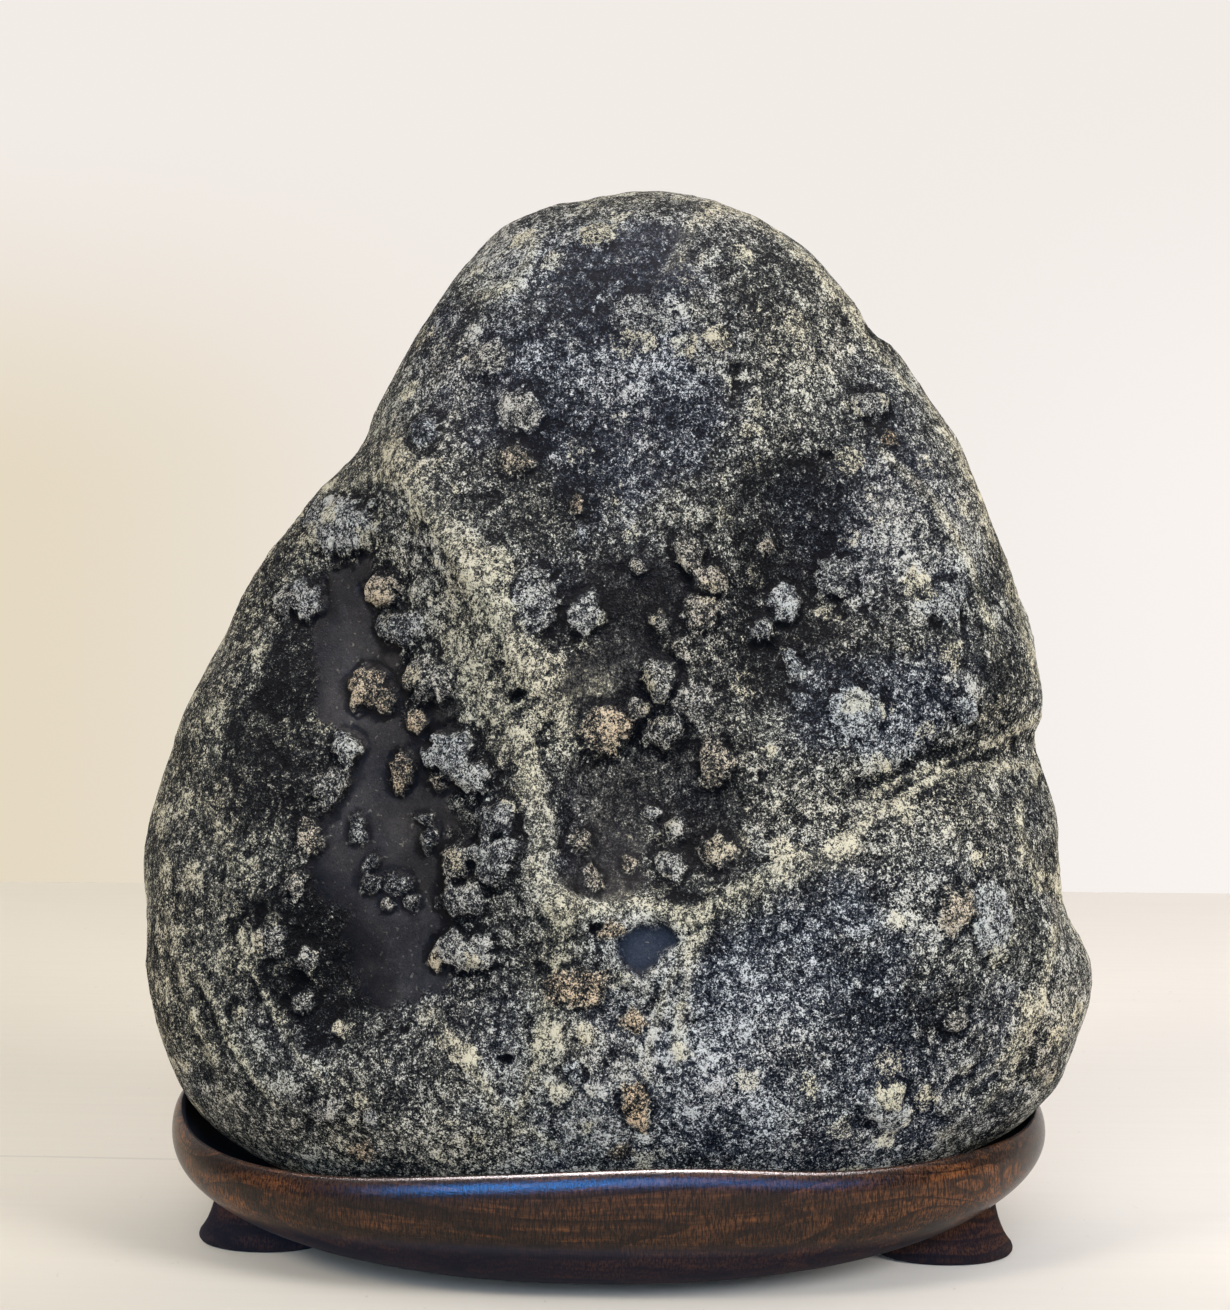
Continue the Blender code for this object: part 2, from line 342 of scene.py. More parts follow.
room = Surroundings("pale_wall_and_dim_room")
toward = room.node("ShaderNodeTexCoord", output="Generated")
to_right, ahead, upward = room.axes(toward, "XYZ")
seen_directly = room.node("ShaderNodeLightPath", output="Is Camera Ray")
# The warm patch low on the left is a painted shadow of the piece; the bright patch low on the right is
# painted light.
wall_shadow_share = (1 - to_right.band(-0.32, -0.06)) * (1 - upward.band(0.0, 0.16))
wall_light_share = to_right.band(0.02, 0.22) * (1 - upward.band(-0.02, 0.18))
wall = room.blend(wall_shadow_share, WALL_COLOUR, WALL_SHADOW_COLOUR)
wall = room.blend(wall_light_share, wall, WALL_LIT_COLOUR)
dim_side = room.blend(upward.band(0.35, 0.95), ROOM_COLOUR, CEILING_COLOUR)
wall_share = ahead.band(-0.15, 0.55).maximum(seen_directly)
room.set_surface(color=room.blend(wall_share, dim_side, wall))
bpy.context.scene.world = room.world
print("world:", room.world.name)

# %% [markdown]
# ## The table's paint
#
# The table is two wide painted boards. The paint is matt, with brush marks along the boards, a few
# scuffs and a dark seam where the boards meet at the left. Shade is painted in as well: darker and
# yellower on the left, darker along the front edge and darker again at the front left, where the
# piece's shadow falls. All of it is one factor that the paint's colour is scaled by.

# %% Painted boards
TABLE_COLOUR = (0.86, 0.81, 0.75)
TABLE_SHADE_COLOUR = (0.79, 0.73, 0.62)
SEAM_PLACE = 37.0
SEAM_WAVER = 3.0
FRONT_PAINTED_SHADE, FRONT_LEFT_PAINTED_SHADOW, SEAM_WEAR, SCUFF_WEAR = 0.2, 0.10, 0.12, 0.10
BRUSH_MARKS = 0.06


def painted_boards():
    boards = Finish("pale_painted_boards")
    place = boards.place()
    across, back = boards.axes(place, "XY")
    # The darker, yellower colour on the left is painted shade.
    colour = boards.blend(across.band(-220.0, 120.0), TABLE_SHADE_COLOUR, TABLE_COLOUR)
    grain = boards.streaks(place, (0.02, 0.35, 1.0), 4.0, 0.6) - 0.5
    scuffs = boards.streaks(place, (0.35, 0.12, 1.0), 3.0, 0.7).band(0.68, 0.74)
    from_seam = back - SEAM_PLACE + grain * SEAM_WAVER
    seam = (1 - (from_seam * from_seam).band(0.05, 0.6)) * (1 - across.band(-90.0, -60.0))
    # front and front_left are painted shade: darker along the front edge, and a painted shadow of the
    # piece at the front left.
    front = 1 - back.band(-80.0, 30.0)
    front_left = (1 - back.band(-130.0, -70.0)) * (1 - across.band(-70.0, 30.0))
    paint_marks_and_shade = 1 - front * FRONT_PAINTED_SHADE + grain * BRUSH_MARKS
    paint_marks_and_shade = paint_marks_and_shade - scuffs * SCUFF_WEAR - seam * SEAM_WEAR - front_left * FRONT_LEFT_PAINTED_SHADOW
    boards.set_surface(base_color=boards.scale(colour, paint_marks_and_shade), roughness=0.8, specular_ior_level=0.0)
    return boards


painted_boards().put_on(table)
print("table painted")

# %% [markdown]
# ## The stand: shape
#
# The stand is one block of dark hardwood. Its plan is an oval a little squarer than an ellipse,
# its belly rounds under like a boat's hull, and its rim dips and rises with the stone. The same
# few measures as in the construction model are used here with many more points, so the rim and
# the belly are truly smooth. Rings of points run from the middle of the seat, over the rim and
# down the belly, which is how a carver would describe the section.

# %% Measures of the stand, in mm
STAND_CENTRE_X = -1.5
STAND_HALF_WIDTH, STAND_HALF_DEPTH = 83.2, 51.5
PLAN_FULLNESS = 2.35
BELLY_CLEARANCE = 1.6
BELLY_LOW_X = -3.0
BELLY_END_RISE = 7.6
BELLY_SQUARENESS = (7.0, 19.0)
SEAT_SQUARENESS = 8.0
CORNER_ROUNDNESS = 2.2
FLOOR_THICKNESS = 4.5
RIM_SECTION = [(0.0, -4.6), (0.25, -2.6), (0.85, -0.9), (1.6, 0.0), (2.3, -0.2), (2.7, -1.1)]
SEAT_SHARES = (0.25, 0.5, 0.7, 0.83, 0.91, 0.96, 0.99)
BELLY_SHARES = (0.997, 0.985, 0.965, 0.935, 0.89, 0.82, 0.7, 0.5, 0.25)
RIM_HEIGHTS = {  # degrees round the rim and the height there
    0: 25.2, 30: 23.4, 55: 22.6, 90: 23.8, 125: 22.2, 155: 23.0,
    180: 25.8, 205: 21.8, 235: 20.4, 262: 23.0, 278: 24.6, 300: 23.2, 335: 24.2,
}
BOWL_SEGMENTS = 96
ROUNDING_LEVELS = 2


# %% The bowl's rings
def smooth_round(samples, angles):
    """Values of a smooth curve through {degrees: value}, repeating every turn."""
    knots = np.array(sorted(samples))
    values = np.array([samples[knot] for knot in knots])
    knots = np.concatenate([knots[-2:] - 360.0, knots, knots[:2] + 360.0])
    values = np.concatenate([values[-2:], values, values[:2]])
    slopes = np.zeros(len(knots))
    slopes[1:-1] = (values[2:] - values[:-2]) / (knots[2:] - knots[:-2])
    turned = np.degrees(angles) % 360.0
    i = np.searchsorted(knots, turned, side="right") - 1
    width = knots[i + 1] - knots[i]
    t = (turned - knots[i]) / width
    return (
        values[i] * (2 * t**3 - 3 * t**2 + 1)
        + values[i + 1] * (3 * t**2 - 2 * t**3)
        + slopes[i] * width * (t**3 - 2 * t**2 + t)
        + slopes[i + 1] * width * (t**3 - t**2)
    )


def oval(angles, half_width, half_depth):
    power = 2.0 / PLAN_FULLNESS
    c, s = np.cos(angles), np.sin(angles)
    x = np.sign(c) * np.abs(c) ** power * half_width + STAND_CENTRE_X
    return x, np.sign(s) * np.abs(s) ** power * half_depth


def belly_floor(x):
    return BELLY_CLEARANCE + BELLY_END_RISE * ((x - BELLY_LOW_X) / STAND_HALF_WIDTH) ** 2


def corner_drop(share, squareness):
    return (1.0 - share**squareness) ** (1.0 / CORNER_ROUNDNESS)


def bowl_rings(angles):
    """All rings of the bowl, from the middle of the seat to the middle of the belly."""
    rim = smooth_round(RIM_HEIGHTS, angles)
    inset, lip_height = RIM_SECTION[-1]
    lip = rim + lip_height
    for share in (0.0, *SEAT_SHARES):
        x, y = oval(angles, (STAND_HALF_WIDTH - inset) * share, (STAND_HALF_DEPTH - inset) * share)
        floor = belly_floor(x) + FLOOR_THICKNESS
        yield x, y, lip - (lip - floor) * corner_drop(share, SEAT_SQUARENESS)
    for inset, height in RIM_SECTION[::-1]:
        x, y = oval(angles, STAND_HALF_WIDTH - inset, STAND_HALF_DEPTH - inset)
        yield x, y, rim + height
    at_end, at_front = BELLY_SQUARENESS
    squareness = at_end + (at_front - at_end) * np.sin(angles) ** 2
    widest = rim + RIM_SECTION[0][1]
    for share in (*BELLY_SHARES, 0.0):
        x, y = oval(angles, STAND_HALF_WIDTH * share, STAND_HALF_DEPTH * share)
        yield x, y, widest - (widest - belly_floor(x)) * corner_drop(share, squareness)


# %% [markdown]
# Blender's sphere already has rings of points that close at two poles, which is just what the
# bowl needs: each ring only has to be moved to its place in the section. A Subdivision Surface
# modifier then rounds everything between the rings.


# %% The bowl
def make_bowl():
    """A sphere whose rings are moved to the bowl's section."""
    rings = len(SEAT_SHARES) + len(RIM_SECTION) + len(BELLY_SHARES) + 1
    bowl = bmesh.new()
    bmesh.ops.create_uvsphere(bowl, u_segments=BOWL_SEGMENTS, v_segments=rings, radius=1.0)
    heights = np.array([vertex.co.z for vertex in bowl.verts])
    ring_of = np.rint(np.arccos(np.clip(heights, -1.0, 1.0)) / math.pi * rings).astype(int)
    angles = np.array([math.atan2(vertex.co.y, vertex.co.x) for vertex in bowl.verts])
    section = [np.column_stack(np.broadcast_arrays(*ring)) for ring in bowl_rings(angles)]
    for index, vertex in enumerate(bowl.verts):
        vertex.co = Vector(section[ring_of[index]][index]) * MM
    return as_object("carved_stand", bowl)


def settle(thing):
    """Make a piece's modifiers part of its mesh."""
    bpy.context.view_layer.update()
    finished = thing.evaluated_get(bpy.context.evaluated_depsgraph_get())
    solid = bpy.data.meshes.new_from_object(finished)
    thing.modifiers.clear()
    thing.data = solid


def subdivide(thing, levels):
    rounding = thing.modifiers.new("rounding", "SUBSURF")
    rounding.levels = rounding.render_levels = levels
    settle(thing)


stand = make_bowl()
subdivide(stand, ROUNDING_LEVELS)
print("bowl:", len(stand.data.polygons), "faces")

# %% [markdown]
# ## The stand: feet
#
# Each foot is short, oval and flared, with its lower edge eased so that it doesn't chip. It is
# turned from a section like a small pedestal, pressed to an oval and joined to the belly with a
# Boolean union, which leaves the crisp crease that a chisel leaves there.

# %% Four feet
FOOT_POSITIONS = {"left": -64.5, "right": 61.5}
FOOT_Y = 15.2
FOOT_HALF_WIDTH, FOOT_HALF_DEPTH = 13.0, 9.2
FOOT_STEPS = 72
MERGE_DISTANCE = 0.00001
SHARP_EDGE = math.radians(38)
FOOT_SECTION = [  # share of the half width and height in mm, from the hidden top to the floor
    (0.0, 12.0), (0.72, 12.0), (0.74, 10.2), (0.76, 8.5), (0.79, 6.9), (0.83, 5.4), (0.875, 4.05),
    (0.93, 2.9), (0.98, 2.05), (0.999, 1.3), (0.993, 0.8), (0.965, 0.3), (0.91, 0.0), (0.0, 0.0),
]


def make_foot(x, y):
    profile = bpy.data.meshes.new("foot_section")
    points = [(share * FOOT_HALF_WIDTH * MM, 0.0, z * MM) for share, z in FOOT_SECTION]
    profile.from_pydata(points, [(i, i + 1) for i in range(len(points) - 1)], [])
    foot = link_to_scene(bpy.data.objects.new("foot", profile))
    turned = foot.modifiers.new("turned", "SCREW")
    turned.steps = turned.render_steps = FOOT_STEPS
    turned.use_merge_vertices = True
    turned.merge_threshold = MERGE_DISTANCE
    settle(foot)
    for vertex in foot.data.vertices:
        vertex.co.y *= FOOT_HALF_DEPTH / FOOT_HALF_WIDTH
    foot.location = (x * MM, y * MM, 0.0)
    return foot


feet = [make_foot(x, side * FOOT_Y) for x in FOOT_POSITIONS.values() for side in (-1, 1)]
for foot in feet:
    join = stand.modifiers.new("join", "BOOLEAN")
    join.operation = "UNION"
    join.object = foot
settle(stand)
for foot in feet:
    bpy.data.objects.remove(foot)
stand.data.shade_smooth()
stand.data.set_sharp_from_angle(angle=SHARP_EDGE)
print("stand:", len(stand.data.polygons), "faces")

# %% [markdown]
# ## The stand: wood
#
# The wood is a dark rosewood-like timber, oiled and rubbed to a satin gloss. Its colour is laid
# on from broad to fine: zones where the orange-brown heartwood shows, dark growth lines that run
# the length of the block with a slight wave, streaks, a soft mottle, and last the dark upright
# flecks of the pores. The flecks also roughen the gloss, so the highlight along the rim breaks
# up as it does on real wood. The inside of the rim and the feet are dull, and both are painted
# darker as shade: near-black inside the rim, and dark on the feet that stand under the belly.

# %% Polished dark wood
WOOD_DARK = (0.0045, 0.0028, 0.0022)
WOOD_BROWN = (0.038, 0.0165, 0.0078)
WOOD_ORANGE = (0.185, 0.066, 0.021)
WOOD_INSIDE_SHADE = (0.0010, 0.0008, 0.0007)
GROWTH_LINES = 11.0
GRAIN_WAVE = 9.0
INWARD = (-1, -3, 0)
FOOT_TOP, FOOT_BLEND = 12.0, 8.0
GLOSS, DULL = 0.15, 0.85


def dark_wood():
    wood = Finish("polished_dark_wood")
    place = wood.place()
    wave = wood.noise(wood.stretch(place, (0.018, 0.03, 0.05)), 1.0, 2.0, colour=True)
    wave = wood.stretch(wood.shift(wave, (-0.5, -0.5, -0.5)), (0.0, GRAIN_WAVE, GRAIN_WAVE))
    wavy = wood.shift(place, wave)
    ring = (wood.streaks(wavy, (0.005, 0.05, 0.085), 1.0) * GROWTH_LINES).fraction()
    zones = wood.streaks(wavy, (0.022, 0.06, 0.12), 2.0)
    streaks = wood.streaks(wavy, (0.05, 0.7, 1.2), 3.0, 0.6)
    flecks = wood.streaks(place, (3.6, 3.0, 0.5), 3.0, 0.75)
    mottle = wood.streaks(wavy, (0.25, 0.5, 0.9), 4.0, 0.7)
    pores = wood.streaks(place, (0.6, 2.5, 4.5), 2.0, 0.6)
    across, up = wood.axes(place, "XZ")
    near_ends = (across * across).band(300.0, 3600.0)
    growth_line = ring.band(0.50, 0.90) * (1 - ring.band(0.95, 1.0))
    colour = wood.blend(zones.band(0.46, 0.66) * (0.25 + near_ends * 0.75), WOOD_BROWN, WOOD_ORANGE)
    colour = wood.blend(streaks.band(0.50, 0.68) * 0.5, colour, WOOD_ORANGE)
    colour = wood.blend(growth_line * 0.75, colour, WOOD_DARK)
    colour = wood.blend((1 - streaks.band(0.34, 0.50)) * 0.6, colour, WOOD_DARK)
    colour = wood.blend((1 - mottle.band(0.40, 0.60)) * 0.5, colour, WOOD_BROWN)
    colour = wood.blend((1 - flecks.band(0.43, 0.58)) * 0.85, colour, WOOD_DARK)
    normal = wood.node("ShaderNodeNewGeometry", output="Normal")
    # The inside of the rim is painted near-black: painted shade.
    inside = wood.along(normal, wood.stretch(place, INWARD)).band(2.0, 12.0)
    # The feet are painted darker: painted shade under the belly.
    foot = 1 - up.band(FOOT_BLEND, FOOT_TOP)
    colour = wood.blend(inside, colour, WOOD_INSIDE_SHADE)
    colour = wood.blend(foot * 0.65, colour, WOOD_DARK)
    wood.set_surface(
        base_color=colour,
        roughness=GLOSS + flecks * 0.16 + inside * DULL + foot * DULL,
        normal=wood.bump(flecks * 0.8 + pores * 0.3, 0.35, 0.0002),
        specular_ior_level=0.28,
    )
    return wood


dark_wood().put_on(stand)
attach(stand, "root")
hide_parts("stand")
print("stand finished")

# %% [markdown]
# ## The stone: a fine mesh to carve
#
# The construction model's stone holds the true outline and the main hollows in about five
# thousand triangles. It is smoothed and divided here: into small faces on the broad face that
# carries most of the detail, and into larger ones behind, which keeps the whole stone under two
# hundred thousand triangles.

# %% Smooth and divide the construction model's stone
FRONT_CUTS, REST_CUTS = 2, 1
FRONT_FACING = 0.14
EVENING_PASSES = 8


def fine_stone():
    source = bpy.data.objects["stone"]
    stone = link_to_scene(bpy.data.objects.new("water_worn_stone", source.data.copy()))
    stone.matrix_world = source.matrix_world
    work = bmesh.new()
    work.from_mesh(stone.data)
    bmesh.ops.remove_doubles(work, verts=work.verts, dist=MERGE_DISTANCE)
    work.to_mesh(stone.data)
    work.free()
    subdivide(stone, 1)
    work = bmesh.new()
    work.from_mesh(stone.data)
    work.normal_update()
    front = {e for f in work.faces if f.normal.y < -FRONT_FACING for e in f.edges}
    rest = [e for e in work.edges if e not in front]
    bmesh.ops.subdivide_edges(work, edges=list(front), cuts=FRONT_CUTS, use_grid_fill=True)
    rest = [e for e in rest if e.is_valid]
    bmesh.ops.subdivide_edges(work, edges=rest, cuts=REST_CUTS, use_grid_fill=True)
    bmesh.ops.triangulate(work, faces=[f for f in work.faces if len(f.verts) > 4])
    for _ in range(EVENING_PASSES):
        bmesh.ops.smooth_vert(
            work, verts=work.verts, factor=0.5, use_axis_x=True, use_axis_y=True, use_axis_z=True
        )
    work.to_mesh(stone.data)
    work.free()
    return stone


def read_points(collection, attribute, width, kind):
    values = np.empty(len(collection) * width, dtype=kind)
    collection.foreach_get(attribute, values)
    return values.reshape(-1, width)


stone = fine_stone()
stone_points = read_points(stone.data.vertices, "co", 3, np.float32).astype(float) / MM
stone_normals = read_points(stone.data.vertices, "normal", 3, np.float32).astype(float)
stone_edges = read_points(stone.data.edges, "vertices", 2, np.int32)
triangle_count = sum(len(p.vertices) - 2 for p in stone.data.polygons)
print("stone:", len(stone_points), "points,", triangle_count, "triangles")

# %% [markdown]
# ## The stone: tools for random but repeatable relief
#
# Two kinds of randomness make stone. Smooth noise gives soft rises and dips; it blends random
# slopes kept on a lattice. Cobble noise measures the distance to scattered centres, and gives
# the rounded grains of a crust. Both depend only on the place and a seed, so the same stone
# comes out each time.

# %% Soft steps and smooth noise
SLOPE_COUNT = 4096
LATTICE_PRIMES = np.array((73856093, 19349663, 83492791), dtype=np.int64)
SEED_PRIME = 2654435761
slope_picker = np.random.default_rng(7)
SLOPES = slope_picker.normal(size=(SLOPE_COUNT, 3))
SLOPES /= np.linalg.norm(SLOPES, axis=1, keepdims=True)
CHANCES = slope_picker.random(SLOPE_COUNT)
CORNERS = np.array(list(product((0, 1), repeat=3)))
NEIGHBOURS = np.array(list(product((-1, 0, 1), repeat=3)))


def ramp(value, low, high):
    """0 at `low` and 1 at `high`, with soft ends; `low` may be the larger."""
    t = np.clip((value - low) / (high - low), 0.0, 1.0)
    return t * t * (3.0 - 2.0 * t)


def bell(distance, width):
    """1 at no distance, fading to nothing over about twice the width."""
    return np.exp(-((distance / width) ** 2))


def mixed(first, second, share):
    """`first` where share is 0 and `second` where it is 1."""
    return first * (1.0 - share) + second * share


def lattice_pick(cells, seed):
    """A repeatable row number for each lattice cell."""
    scrambled = cells * LATTICE_PRIMES
    return (
        scrambled[:, 0] ^ scrambled[:, 1] ^ scrambled[:, 2] ^ (seed * SEED_PRIME)
    ) % SLOPE_COUNT


def smooth_noise(points, size, seed):
    """Soft random heights between about -1 and 1, with features `size` mm across."""
    place = points / size
    cells = np.floor(place).astype(np.int64)
    within = place - cells
    ease = within**3 * (within * (within * 6 - 15) + 10)
    total = np.zeros(len(points))
    for corner in CORNERS:
        slopes = SLOPES[lattice_pick(cells + corner, seed)]
        weight = np.prod(np.where(corner, ease, 1 - ease), axis=1)
        total += weight * np.sum(slopes * (within - corner), axis=1)
    return total * 1.7


def layered_noise(points, size, layers, seed, gain=0.5):
    """Smooth noise with finer and weaker layers on top."""
    return sum(
        gain**layer * smooth_noise(points, size / 2**layer, seed + layer) for layer in range(layers)
    )


def pushed_about(points, amount, size, seeds):
    """Points moved by smooth noise, so that what is drawn from them gets a ragged edge."""
    return points + amount * np.column_stack([layered_noise(points, size, 2, s) for s in seeds])


# %% Cobbles and scattered lumps
def cells_around(points, size, seed, spread):
    """For each neighbouring cell, its row number and the distance to its centre."""
    place = points / size
    cells = np.floor(place).astype(np.int64)
    for neighbour in NEIGHBOURS:
        home = cells + neighbour
        row = lattice_pick(home, seed)
        yield row, np.linalg.norm(place - (home + 0.5 + spread * SLOPES[row]), axis=1)


def cobble_noise(points, size, seed):
    """Distance to the nearest of a scatter of centres, 0 at a centre, about 1 between them."""
    nearest = np.ones(len(points))
    for _, distance in cells_around(points, size, seed, 0.42):
        nearest = np.minimum(nearest, distance)
    return nearest


def scattered_lumps(points, size, radii, edge, seed, share=0.5):
    """1 inside lumps scattered at random, 0 outside; a share of the cells holds one each."""
    lumps = np.zeros(len(points))
    for row, distance in cells_around(points, size, seed, 0.4):
        radius = radii[0] + (radii[1] - radii[0]) * CHANCES[row] / share
        lump = ramp(distance / radius + edge, 1.1, 0.8)
        lumps = np.maximum(lumps, np.where(CHANCES[row] < share, lump, 0.0))
    return lumps


print("noise from", SLOPE_COUNT, "random slopes")

# %% [markdown]
# ## The stone: where things are
#
# The stone's knobs have no regular layout, so they are placed one by one by their dot in the
# camera's picture (across, down), 1230 by 1310 dots with the first dot at the top left. One dot
# is about a fifth of a millimetre on the stone. Each point of the stone gets its dots once and
# only points that face the viewer take a detail, so from then on the detail belongs to the stone.
# The same helpers also look from behind, by turning the stone half a turn.

# %% The stone seen from the front and from the back
HALF_TURN = np.array((-1.0, -1.0, 1.0))
GRAZING, FACING = 0.02, 0.25


def seen_at(points):
    """Picture dots (across, down) of points given in mm."""
    turn = np.array(camera.matrix_world.to_3x3())
    x, y, z = ((points * MM - np.array(camera.location)) @ turn).T
    scale = FOCAL_PIXELS / -z
    return np.column_stack((PICTURE_WIDTH / 2 + x * scale, PICTURE_HEIGHT / 2 - y * scale))


def faces_viewer(points, normals):
    """1 where the surface faces the camera, 0 where it is turned away."""
    to_camera = np.array(camera.location) / MM - points
    to_camera /= np.linalg.norm(to_camera, axis=1, keepdims=True)
    return ramp(np.sum(normals * to_camera, axis=1), GRAZING, FACING)


def look_at(points, normals):
    return {"dots": seen_at(points), "facing": faces_viewer(points, normals)}


FRONT = look_at(stone_points, stone_normals)
BACK = look_at(stone_points * HALF_TURN, stone_normals * HALF_TURN)
print("points facing front:", int(np.sum(FRONT["facing"] > 0.5)))


# %% Ovals, paths and outlines
def on_both_sides(front_details, back_details):
    """Each detail together with the view that its dots are measured in."""
    for view, details in ((FRONT, front_details), (BACK, back_details)):
        for detail in details.values():
            yield view, detail


def from_oval(view, oval_shape, wobble):
    """Distance from an oval's middle, 1 at its edge. The wobble makes the edge ragged."""
    across, down, half_width, half_height, turn = oval_shape
    c, s = math.cos(math.radians(turn)), math.sin(math.radians(turn))
    x, y = (view["dots"] - (across, down)).T
    return np.hypot((x * c - y * s) / half_width, (x * s + y * c) / half_height) + wobble


def from_path(points, path):
    """Distance of each point from a path, both in dots or both in mm."""
    nearest = np.full(len(points), np.inf)
    for start, end in zip(path, path[1:]):
        start, run = np.array(start, float), np.array(end, float) - start
        offset = points - start
        share = np.clip(offset @ run / (run @ run), 0.0, 1.0)[:, None]
        nearest = np.minimum(nearest, np.linalg.norm(offset - share * run, axis=1))
    return nearest


def inside_outline(view, outline):
    """Whether each point lies inside a closed outline: a ray to the right crosses it once."""
    across, down = view["dots"].T
    crossed = np.zeros(len(across), dtype=bool)
    for (x0, y0), (x1, y1) in zip(outline, [*outline[1:], outline[0]]):
        spans = (y0 > down) != (y1 > down)
        crossed ^= spans & (across < x0 + (down - y0) * (x1 - x0) / ((y1 - y0) or 1))
    return crossed


print("measuring tools ready")

# %% [markdown]
# ## The stone: names and places of its details
#
# The stone is told in words here, one named detail a line, all in dots of the camera's picture.
# The ground comes first. Floors are the dark smooth hollows, which the water polished. Dark
# patches have few crystals, and in the shaded hollow they also paint the shade that falls there;
# rough ground has more relief, and flowing ground has its crystals drawn out. Each is an oval:
# its middle, half width, half height, turn in degrees and strength.

# %% Front: the ground
FRONT_FLOORS = {
    "left trough, top": (345, 615, 34, 62, -14, 1.0),
    "left trough, upper": (362, 690, 46, 62, -8, 1.0),
    "left trough, middle": (398, 775, 62, 66, -20, 1.0),
    "left trough, lower": (392, 856, 82, 72, -8, 1.0),
    "left trough, foot": (396, 945, 56, 66, 4, 1.0),
    "middle hollow, top": (630, 600, 70, 50, 10, 0.45),
    "middle hollow, upper": (625, 680, 60, 52, 30, 0.62),
    "middle hollow, middle": (640, 760, 60, 50, 10, 0.5),
    "middle hollow, floor": (610, 800, 56, 50, 10, 0.55),
    "middle hollow, lower": (604, 862, 48, 44, -10, 0.7),
    "middle hollow, right": (690, 800, 40, 80, 20, 0.45),
    "right of the trough": (436, 750, 30, 60, 0, 0.7),
    "under the summit": (648, 262, 50, 36, 0, 0.42),
    "summit slope": (600, 300, 40, 60, 30, 0.3),
}
FRONT_DARK = {
    "left dark patch": (318, 965, 62, 84, 10, 0.8),
    "left upper dark rim": (292, 690, 30, 100, -14, 0.7),
    "outside the trough": (262, 760, 44, 70, -14, 0.4),
    # The shaded hollow's dark patches are partly the rock's dark colour and partly painted shade.
    "shaded hollow, upper": (790, 515, 76, 62, 20, 0.6),
    "shaded hollow, lower": (770, 620, 44, 84, 0, 0.55),
    "above the middle": (612, 598, 74, 40, 0, 0.5),
    "above the sill": (850, 890, 60, 30, 20, 0.4),
    "under the shoulder": (560, 470, 60, 60, 0, 0.3),
    "right low dark": (920, 990, 60, 60, 0, 0.35),
    "right of the summit": (800, 250, 40, 50, 30, 0.3),
    "summit, middle": (610, 300, 110, 50, 0, 0.14),
    "slope by the shade": (840, 660, 60, 60, 0, 0.25),
    "slope under the shoulder": (960, 640, 30, 30, 0, 0.2),
    "left of the sill": (520, 985, 34, 60, 10, 0.25),
    "right middle dark": (1010, 690, 30, 40, 0, 0.3),
}
FRONT_ROUGH = {
    "round the trough": (400, 780, 165, 290, -6, 1.0),
    "nodule ridge": (690, 680, 110, 210, 0, 1.0),
    "right of the ridge": (830, 560, 80, 110, 0, 1.0),
    "shoulder": (340, 540, 90, 60, 0, 1.0),
    "low middle": (600, 1040, 110, 110, 0, 1.0),
    "right slope": (900, 700, 110, 130, 0, 0.5),
    "upper middle": (620, 380, 130, 110, 0, 0.4),
}
FRONT_FLOWING = {
    "left lobe": (232, 960, 70, 190, 0, 0.6),
    "low centre": (570, 1060, 120, 100, 0, 0.5),
    "right flowing": (930, 560, 60, 150, 20, 0.5),
    "right lobe": (1000, 960, 60, 120, 0, 0.5),
}
print(len(FRONT_FLOORS), "floors and", len(FRONT_DARK), "dark patches on the front")

# %% [markdown]
# Veins are pale bands and lines, some raised as ridges. Each is a path of dots, half a width,
# how far it stands out in mm, and how much paler it is than the ground.

